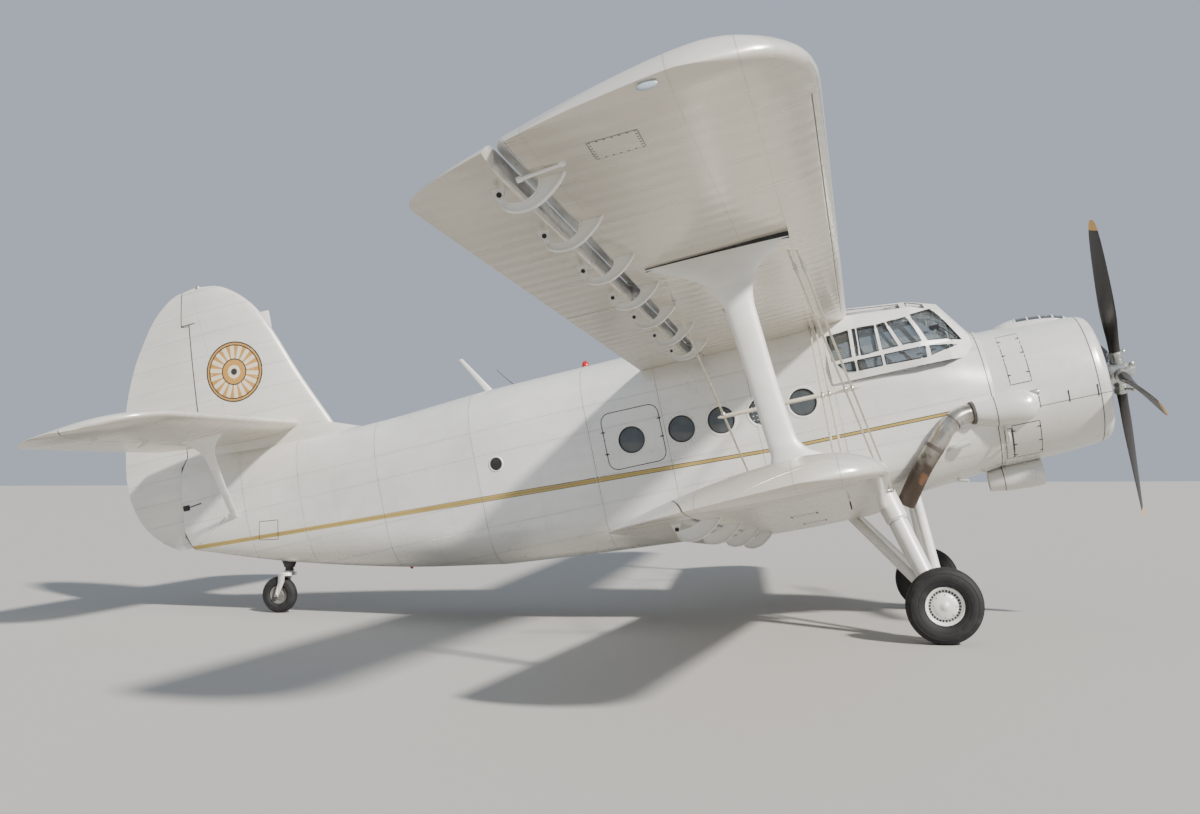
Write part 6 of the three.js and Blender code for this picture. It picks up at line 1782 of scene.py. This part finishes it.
class BIPLANE_OT_bracing(bpy.types.Operator):
    """Interplane struts, bracing wires, legs and their fittings"""

    bl_idname = "biplane.bracing"
    bl_label = "Struts and wires"

    def execute(self, context):
        piece("interplane_strut_*_skin", faired(STRUT_SECTIONS[:-1], -STRUT_Y), "Plain paint")
        # A black band at each strut's top: painted shade of the gap between the strut and the wing
        gap_shade_rows = [(z, -1.255, 1.15, 0.078) for z in (3.425, 3.45, 3.5)]
        piece("strut_joint_*", faired(gap_shade_rows, -STRUT_Y, count=2), "Black paint")
        self.wires()
        strut = less(faired(TAIL_STRUT, 0.0, 36, 60), body_loft(TAIL_SECTIONS), slab(-9, -7.4, -3, 1, 3.566, 4))
        piece("tailplane_strut_*_skin", strut, "Plain paint")
        self.legs()
        return {"FINISHED"}

    def wire(self, start, end):
        """A streamlined wire, flat in the wind, between two points."""
        along = (end - start).normalized()
        ahead = Vector((1, 0, 0))
        ahead = (ahead - along * ahead.dot(along)).normalized() * size("wire") * 1.5
        across = along.cross(ahead).normalized() * size("wire") * 0.6
        return loft([[point + ahead * cos(a) + across * sin(a) for a in angles(12)] for point in (start, end)])

    def wires(self):
        """Wires and the spreader that steadies them, with their end fittings and clamps."""
        x0, x1, y, z = SPREADER["rear"], SPREADER["front"], SPREADER["y"], SPREADER["z"]
        parts = [tube([(x0, y, z), (x0 + 0.05, y, z), (x1 - 0.05, y, z), (x1, y, z)],
                      [0.008, SPREADER["radius"], SPREADER["radius"], 0.008], 20)]
        fittings = []
        for start, end, pair in WIRES:
            for shift in ((-WIRE_SPREAD, WIRE_SPREAD) if pair else (0,)):
                a, b = Vector(start) + Vector((shift, 0, 0)), Vector(end) + Vector((shift, 0, 0))
                if b.z < 1.0 or abs(b.y) < 0.9:
                    b = b + (a - b).normalized() * 0.012
                parts.append(self.wire(a, b))
                for point, along in ((a, (b - a).normalized()), (b, (a - b).normalized())):
                    fittings.append(tube([point + along * s for s in (0.16, 0.19, 0.33, 0.36)],
                                         [0.008, 0.013, 0.013, 0.008], 14))
                    fittings.append(rod(point + along * 0.255, point + along * 0.265, 0.016, 14))
                spot = a.lerp(b, (y - a.y) / (b.y - a.y))
                if abs(spot.z - z) < 0.25:
                    fittings.append(ball(spot, 0.02, (1.2, 1.2, 1.6)))
                    fittings.append(rod(spot, (spot.x, y, z), 0.007, 10))
        piece("bracing_*_skin", joined(*parts), "Wire cream")
        piece("wire_fittings_*", joined(*fittings), "Bare metal")

    def legs(self):
        """The main legs and their braces, their hoses, and their steel fittings."""
        top, foot = Vector(GEAR_LEG[0]), Vector(GEAR_LEG[1])
        parts = [tube([top.lerp(foot, share) for share, r in GEAR_LEG_STEPS], [r for share, r in GEAR_LEG_STEPS], 40),
                 rod((0, -1.345, 0), (0, -1.465, 0), 0.094, 36), rod((0, -1.335, 0), (0, -1.345, 0), 0.08, 36)]
        for start, end, radius in GEAR_BRACES:
            parts.append(tube([Vector(start).lerp(Vector(end), share) for share in (0, 0.1, 0.88, 1)],
                              [radius, radius, radius * 0.97, radius * 0.86], 32))
        whole = [less(part, body_loft(NOSE_SECTIONS, -0.002), centre_section(LOWER, LOWER["root"] + 0.01))
                 for part in parts]
        piece("main_leg_*_skin", joined(*whole), "Plain paint", sharp=50)
        side = Vector((-0.03, 0.11, 0))
        path = [top.lerp(foot, share) + side * out for share, out in ((0.3, 1), (0.55, 1.05), (0.8, 1.15), (0.93, 1))]
        piece("brake_hose_*", tube(curve_points(path + [(0.02, -1.3, 0.085)], 8), 0.009, 12), "Black paint")
        clips = []
        for share in (0.262, 0.85):
            spot = top.lerp(foot, share)
            clips.append(tube([spot, spot + (foot - top).normalized() * 0.009], 0.1025, 36))
        clips.append(rod((0, -1.465, 0), (0, -1.545, 0), 0.052, 28))
        clips.append(rod((0, -1.375, 0), (0, -1.694, 0), 0.038, 24))
        for a in angles(6):
            x, z = 0.072 * cos(a), 0.072 * sin(a)
            clips.append(rod((x, -1.462, z), (x, -1.474, z), 0.01, 6))
        piece("leg_fittings_*", joined(*clips), "Steel")


def smooth_profile(section, count):
    """Evenly spaced points on a smooth curve through a section's points."""
    rows = [(k, *point) for k, point in enumerate(section)]
    return [tuple(smooth_row(rows, u)[1:]) for u in stations(0, len(section) - 1, count)]


class BIPLANE_OT_wheels(bpy.types.Operator):
    """Main and tail wheels with their tyres, and the tail gear"""

    bl_idname = "biplane.wheels"
    bl_label = "Wheels"

    def execute(self, context):
        for side, flip in SIDES.items():
            pose = Matrix.Translation(joint(f"main_wheel_{side}_spin")["pos_m"]) @ flip
            body = f"main_wheel_{side}"
            self.tyre(f"main_tyre_{side}", MAIN_TYRE, MAIN_RADIUS, 0.1, 5, pose)
            piece(f"{body}_skin", turned(MAIN_DISC, axis="Y", sides=96), "Plain paint", pose=pose, sharp=40)

            def ring(count, reach, y):
                outs = [Vector((cos(a), 0, sin(a))) for a in angles(count)]
                return [(out * reach + Vector((0, y, 0)), facing((0, -1, 0), out)) for out in outs]

            # Black bars for the wheel's slots: painted shade of the openings
            rows_of(f"{body}_slots", "bar", ring(30, 0.156, -0.039), (0.021, 0.018, 0.006), "Black paint", pose=pose,
                    body=body)
            rows_of(f"{body}_bolts", "stud", ring(8, 0.118, -0.0715), (0.016, 0.016, 0.012), "Steel", pose=pose,
                    body=body)
        self.tail_gear()
        return {"FINISHED"}

    def tyre(self, node, section, radius, tread, grooves, pose):
        """A tyre with grooves round its tread and ridges on its shoulders."""
        smooth = smooth_profile(section, 60)
        depth = size("tread")
        marks = [(-0.5 + (i + 0.5) / grooves) * tread * 1.3 for i in range(grooves)]
        profile = smooth[:1]
        for (before, low), (along, r) in zip(smooth, smooth[1:]):
            on_tread = r > radius * 0.9
            for mark in marks:
                if on_tread and before < mark <= along:
                    level = low + (r - low) * (mark - before) / max(along - before, 1e-6)
                    profile += [(mark + step, level - drop)
                                for step, drop in ((-0.0035, 0), (-0.0022, depth), (0.0022, depth), (0.0035, 0))]
            if not (on_tread and any(abs(along - mark) < 0.004 for mark in marks)):
                profile.append((along, r))
        ridges = []
        for share in (0.32, 0.72):
            r = section[0][1] + (radius - section[0][1]) * share
            wide = max(abs(along) for along, level in smooth if abs(level - r) < radius * 0.02)
            for sign in (-1, 1):
                ridges.append(turned([(sign * (wide + out), r + up) for out, up in (
                    (-0.002, -0.004), (0.0025, 0), (-0.002, 0.004), (-0.002, -0.004))], axis="Y", sides=96))
        piece(f"{node}_skin", joined(turned(profile + profile[:1], axis="Y", sides=112), *ridges), "Tyre rubber",
              pose=pose, sharp=40)

    def tail_gear(self):
        """Tail wheel, its tyre, the fork and the leg with its cup."""
        wheel_pose = Matrix.Translation(joint("tail_wheel_spin")["pos_m"])
        self.tyre("tail_tyre", TAIL_TYRE, 0.235, 0.06, 3, wheel_pose)
        piece("tail_wheel_skin", turned(TAIL_DISC, axis="Y", sides=72), "Wheel grey", pose=wheel_pose, sharp=40)
        head = Matrix.Translation(TAIL_HEAD) @ Matrix.Rotation(TIPPED, 4, "Y")
        smoothed("tail_fork", "Plain paint", 40)
        nuts = []
        for sign in (-1, 1):
            for x, z, inner, outer, reach in ((*TAIL_AXLE, 0.112, 0.124, 0.019), (-0.07, -0.04, 0.105, 0.113, 0.008),
                                              (-0.04, -0.04, 0.105, 0.113, 0.008)):
                nuts.append(rod((x, sign * inner, z), (x, sign * outer, z), reach, 6))
        cup = [(-0.058, 0), (-0.058, 0.05), (-0.05, 0.066), (-0.01, 0.066), (-0.004, 0.06), (-0.004, 0)]
        piece("fork_fittings", joined(*nuts, turned(cup, axis="Z", sides=32)), "Steel", head,
              body=body_of_node("tail_fork"))
        leg = [(0.001, 0), (0.001, 0.057), (0.02, 0.058), (0.026, 0.05), (0.04, 0.052), (0.046, 0.064),
               (0.06, 0.07), (0.12, 0.094), (0.13, 0.101), (0.3, 0.128), (0.33, 0.13), (0.33, 0)]
        cone = moved(body_loft(TAIL_SECTIONS), head.inverted())
        piece("tail_leg_skin", less(turned(leg, axis="Z", sides=48), cone), "Black paint", head)


# Tail surfaces

def fin_ring(row):
    """One level section of the fin."""
    z, nose, tail, thick = row
    chord = nose - tail
    return [(x, y, z) for x, y in aerofoil(nose, chord, thick / chord, False)]


def fin_solid():
    """Fin and rudder as one body."""
    low = [row for row in FIN_SECTIONS if row[0] <= 3.43]
    high = [row for row in FIN_SECTIONS if row[0] >= 3.56]
    rings = [fin_ring(smooth_row(low, z)) for z in stations(low[0][0], low[-1][0], 16)]
    rings += [fin_ring(smooth_row(high, z)) for z in stations(high[0][0], high[-1][0], 60)]
    return loft(rings)


def rudder_axis(z):
    """The rudder axis's station at a height."""
    (x0, z0), (x1, z1) = RUDDER_AXIS
    return x0 + (x1 - x0) * (z - z0) / (z1 - z0)


def rudder_zone(grow):
    """What turns with the rudder: behind its axis, round its nose and at its balance."""
    low, high = 2.0, 6.2
    behind = loft([[(rudder_axis(low), y, low), (rudder_axis(high), y, high), (-11.5, y, high), (-11.5, y, low)]
                   for y in (-0.7, 0.7)])
    nose = rod((rudder_axis(low), 0, low), (rudder_axis(high), 0, high), RUDDER_NOSE + grow, 48)
    z0, z1 = BALANCE["low"] - grow, BALANCE["high"] + grow
    balance = rod((rudder_axis(z0), 0, z0), (rudder_axis(z1), 0, z1), BALANCE["low_radius"] + grow, 96,
                  BALANCE["high_radius"] + grow)
    return combined(combined(behind, nose, "UNION"), balance, "UNION")


def elevator_zone(inner, grow):
    """What turns with the right elevator."""
    hinge, z = TAILPLANE["hinge"], TAILPLANE["z"]
    behind = slab(-11, hinge, -4, -inner, 3.0, 4.3)
    nose = rod((hinge, -4, z), (hinge, -inner, z), TAILPLANE["radius"] + grow, 48)
    return combined(behind, nose, "UNION")


class BIPLANE_OT_tail(bpy.types.Operator):
    """Fin, rudder, tailplane and elevators"""

    bl_idname = "biplane.tail"
    bl_label = "Tail surfaces"

    def execute(self, context):
        whole = fin_solid()
        fin = less(copied(whole), rudder_zone(GAP), slab(-12, -6, -0.9, 0.9, 0, 3.3))
        piece("fin_skin", fin, "Fin covering")
        piece("rudder_skin", combined(whole, rudder_zone(0), "INTERSECT"), "Fin covering")
        rings = []
        for y, nose, tail in (smooth_row(TAILPLANE_SECTIONS, y)
                              for y in stations(0.06, 3.05, 14)[:-1] + stations(3.05, 3.6, 20)):
            rings.append([(x, -y, TAILPLANE["z"] + z) for x, z in aerofoil(nose, nose - tail, 0.105, False)])
        half = loft(rings)
        LOOKS["Tailplane covering"] = (
            "white_paint", wing_finish, AIRFRAME, 2.0, 0.3, (),
            (TAILPLANE["hinge"], TAILPLANE["z"], TAILPLANE["radius"]), 0.35)
        piece("tailplane_*_skin", less(copied(half), elevator_zone(0, GAP)), "Tailplane covering")
        moving = combined(half, elevator_zone(TAILPLANE["inner"], 0), "INTERSECT")
        piece("elevator_*_skin", moving, "Tailplane covering")
        self.fittings()
        return {"FINISHED"}

    def fittings(self):
        """Hinge brackets, struts' feet, horns, tail lines, the fin's boxes and its cap light."""
        hinge, z = TAILPLANE["hinge"], TAILPLANE["z"]
        outline = [(0.19, -0.07), (0.12, -0.105), (0.05, -0.13), (0.006, -0.134), (0.006, -0.108),
                   (0.046, -0.098), (0.086, -0.064), (0.15, -0.04)]
        brackets = [loft([[(hinge + x, -y + side, z + h) for x, h in outline] for side in (-0.006, 0.006)])
                    for y in TAILPLANE["hinges"]]
        piece("tailplane_brackets_*", joined(*brackets), "Plain paint")
        piece("strut_foot_*", rod((-8.6, -0.19, 2.64), (-8.44, -0.3, 2.66), 0.026, 20, 0.02), "Plain paint")
        piece("tail_boxes_*", bevelled(slab(-7.86, -7.622, -0.026, 0.0, 4.99, 5.215), 0.005), "Plain paint")
        piece("rudder_horn_*", joined(slab(-9.24, -9.15, -0.15, -0.096, 2.825, 2.895),
                                      rod((-9.16, -0.135, 2.862), (-8.96, -0.175, 2.88), 0.008, 10)), "Black paint")
        line = curve_points([(-8.59, -0.245, 2.64), (-8.85, -0.19, 2.5), (-9.08, -0.13, 2.38)], 6)
        piece("tail_line_*", tube(line, 0.009, 12), "Plain paint")
        lens = turned([(0.0, 0), (0.0, 0.03), (0.022, 0.026), (0.034, 0.012), (0.037, 0)], (-8.56, 0, 5.752), "Z", 20)
        piece("fin_light", joined(lens, rod((-8.56, 0, 5.7), (-8.56, 0, 5.756), 0.036, 24)), "Bare metal")


# Stage

CAMERA = {"place": (3.1884, -15.0761, 1.8362), "heading": 11.708, "pitch": 3.256, "roll": -0.349,
          "lens": 36.956, "lift": -7 / 1200}


class BIPLANE_OT_stage(bpy.types.Operator):
    """Camera at the photograph's viewpoint, pale floor and soft light"""

    bl_idname = "biplane.stage"
    bl_label = "Stage"

    def execute(self, context):
        scene = context.scene
        camera = bpy.data.objects.new("Camera", bpy.data.cameras.new("Camera"))
        camera.data.lens = CAMERA["lens"]
        camera.data.sensor_width = 36.0
        camera.data.sensor_fit = "HORIZONTAL"
        camera.data.shift_y = CAMERA["lift"]
        turn = tilt("Z", CAMERA["heading"]) @ tilt("X", 90 + CAMERA["pitch"]) @ tilt("Z", CAMERA["roll"])
        camera.matrix_world = Matrix.Translation(CAMERA["place"]) @ turn
        camera.data.clip_end = 500
        scene.collection.objects.link(camera)
        scene.camera = camera

        ground = bpy.data.meshes.new("floor")
        bm = slab(-150, 150, -150, 150, -0.1, -0.0005)
        bm.to_mesh(ground)
        bm.free()
        floor = bpy.data.objects.new("floor", ground)
        scene.collection.objects.link(floor)
        shader = Shader("Floor", LEVEL)
        ground.materials.append(shader.finish(Base_Color=(0.42, 0.41, 0.39), Roughness=0.9))

        world = scene.world or bpy.data.worlds.new("World")
        scene.world = world
        world.use_nodes = True
        background = world.node_tree.nodes["Background"]
        background.inputs[0].default_value = (0.74, 0.83, 0.96, 1)
        background.inputs[1].default_value = 0.6
        self.lamp(scene, "key", "SUN", (12, -9.5, 13.2), 7.0, (1.0, 0.955, 0.885), spread=4)
        self.lamp(scene, "fill", "AREA", (-10, -16, 6), 130, (0.92, 0.96, 1.0), size=10)
        return {"FINISHED"}

    def lamp(self, scene, name, kind, place, power, tint, spread=0, size=1.0):
        """A lamp that points at the middle of the aircraft."""
        light = bpy.data.lights.new(name, kind)
        light.energy = power
        light.color = tint
        if kind == "SUN":
            light.angle = radians(spread)
        else:
            light.size = size
        lamp = bpy.data.objects.new(name, light)
        aim = Vector((0, 0, 2)) - Vector(place)
        lamp.matrix_world = Matrix.Translation(place) @ aim.to_track_quat("-Z", "Y").to_matrix().to_4x4()
        scene.collection.objects.link(lamp)


def tint(name, description, *default):
    """A colour that a user may change."""
    return bpy.props.FloatVectorProperty(
        name=name, description=description, subtype="COLOR", size=3, min=0, max=1, default=default)


def length(name, description, least, default, most):
    """A length that a user may change."""
    return bpy.props.FloatProperty(
        name=name, description=description, min=least, default=default, max=most, unit="LENGTH")


class BiplaneColours(bpy.types.PropertyGroup):
    """Colours that a user may change."""

    paint: tint("Paint", "Body paint", 0.875, 0.865, 0.83)
    covering: tint("Covering", "Wing and tail covering", 0.82, 0.795, 0.735)
    stripe: tint("Stripe", "Stripe along the body", 0.56, 0.4, 0.12)
    edging: tint("Edging", "Edging of the stripe", 0.085, 0.072, 0.045)
    blade_tips: tint("Blade tips", "Tips of the propeller blades", 0.6, 0.34, 0.08)
    emblem_warm: tint("Disc, warm", "Warm colour of the disc on the fin", 0.52, 0.27, 0.06)
    emblem_light: tint("Disc, light", "Light colour of the disc on the fin", 0.74, 0.66, 0.5)
    emblem_dark: tint("Disc, dark", "Dark colour of the disc on the fin", 0.03, 0.026, 0.022)


class BiplaneSizes(bpy.types.PropertyGroup):
    """Sizes that a user may change."""

    rivet: length("Rivet", "Width of a rivet's head", 0.004, 0.011, 0.03)
    gasket: length("Gasket", "Half width of the rubber round a pane", 0.002, 0.006, 0.02)
    # The dark strip of this half width round a panel is painted shade of its gap
    panel_gap: length("Panel gap", "Half width of the gap round a panel", 0.001, 0.0045, 0.01)
    wire: length("Wire", "Size of a bracing wire: a third of its chord", 0.003, 0.007, 0.007)
    fin_pitch: length("Fin pitch", "Distance between a cylinder's fins", 0.012, 0.02, 0.022)
    tread: length("Tread", "Depth of a tyre's grooves", 0.002, 0.007, 0.012)


class BIPLANE_PT_panel(bpy.types.Panel):
    """Lists the colours and the pieces"""

    bl_idname = "BIPLANE_PT_panel"
    bl_label = "Transport biplane"
    bl_space_type = "VIEW_3D"
    bl_region_type = "UI"
    bl_category = "Biplane"

    def draw(self, context):
        for name in BiplaneSizes.__annotations__:
            self.layout.prop(context.scene.biplane_sizes, name)
        for name in BiplaneColours.__annotations__:
            self.layout.prop(context.scene.biplane_colours, name)
        for operator in PIECES:
            self.layout.operator(operator.bl_idname)


PIECES = (
    BIPLANE_OT_stage, BIPLANE_OT_body, BIPLANE_OT_windows, BIPLANE_OT_canopy, BIPLANE_OT_interior, BIPLANE_OT_engine,
    BIPLANE_OT_propeller, BIPLANE_OT_wings, BIPLANE_OT_bracing, BIPLANE_OT_wheels, BIPLANE_OT_tail,
)
CLASSES = (BiplaneColours, BiplaneSizes, *PIECES, BIPLANE_PT_panel)


def register():
    """Adds the classes and the colours to Blender."""
    for cls in CLASSES:
        bpy.utils.register_class(cls)
    bpy.types.Scene.biplane_colours = bpy.props.PointerProperty(type=BiplaneColours)
    bpy.types.Scene.biplane_sizes = bpy.props.PointerProperty(type=BiplaneSizes)


def unregister():
    """Takes them out again."""
    del bpy.types.Scene.biplane_colours
    del bpy.types.Scene.biplane_sizes
    for cls in reversed(CLASSES):
        bpy.utils.unregister_class(cls)


def main():
    """Builds every piece."""
    register()
    for operator in PIECES:
        getattr(bpy.ops.biplane, operator.bl_idname.split(".")[1])()


if __name__ == "__main__":
    main()
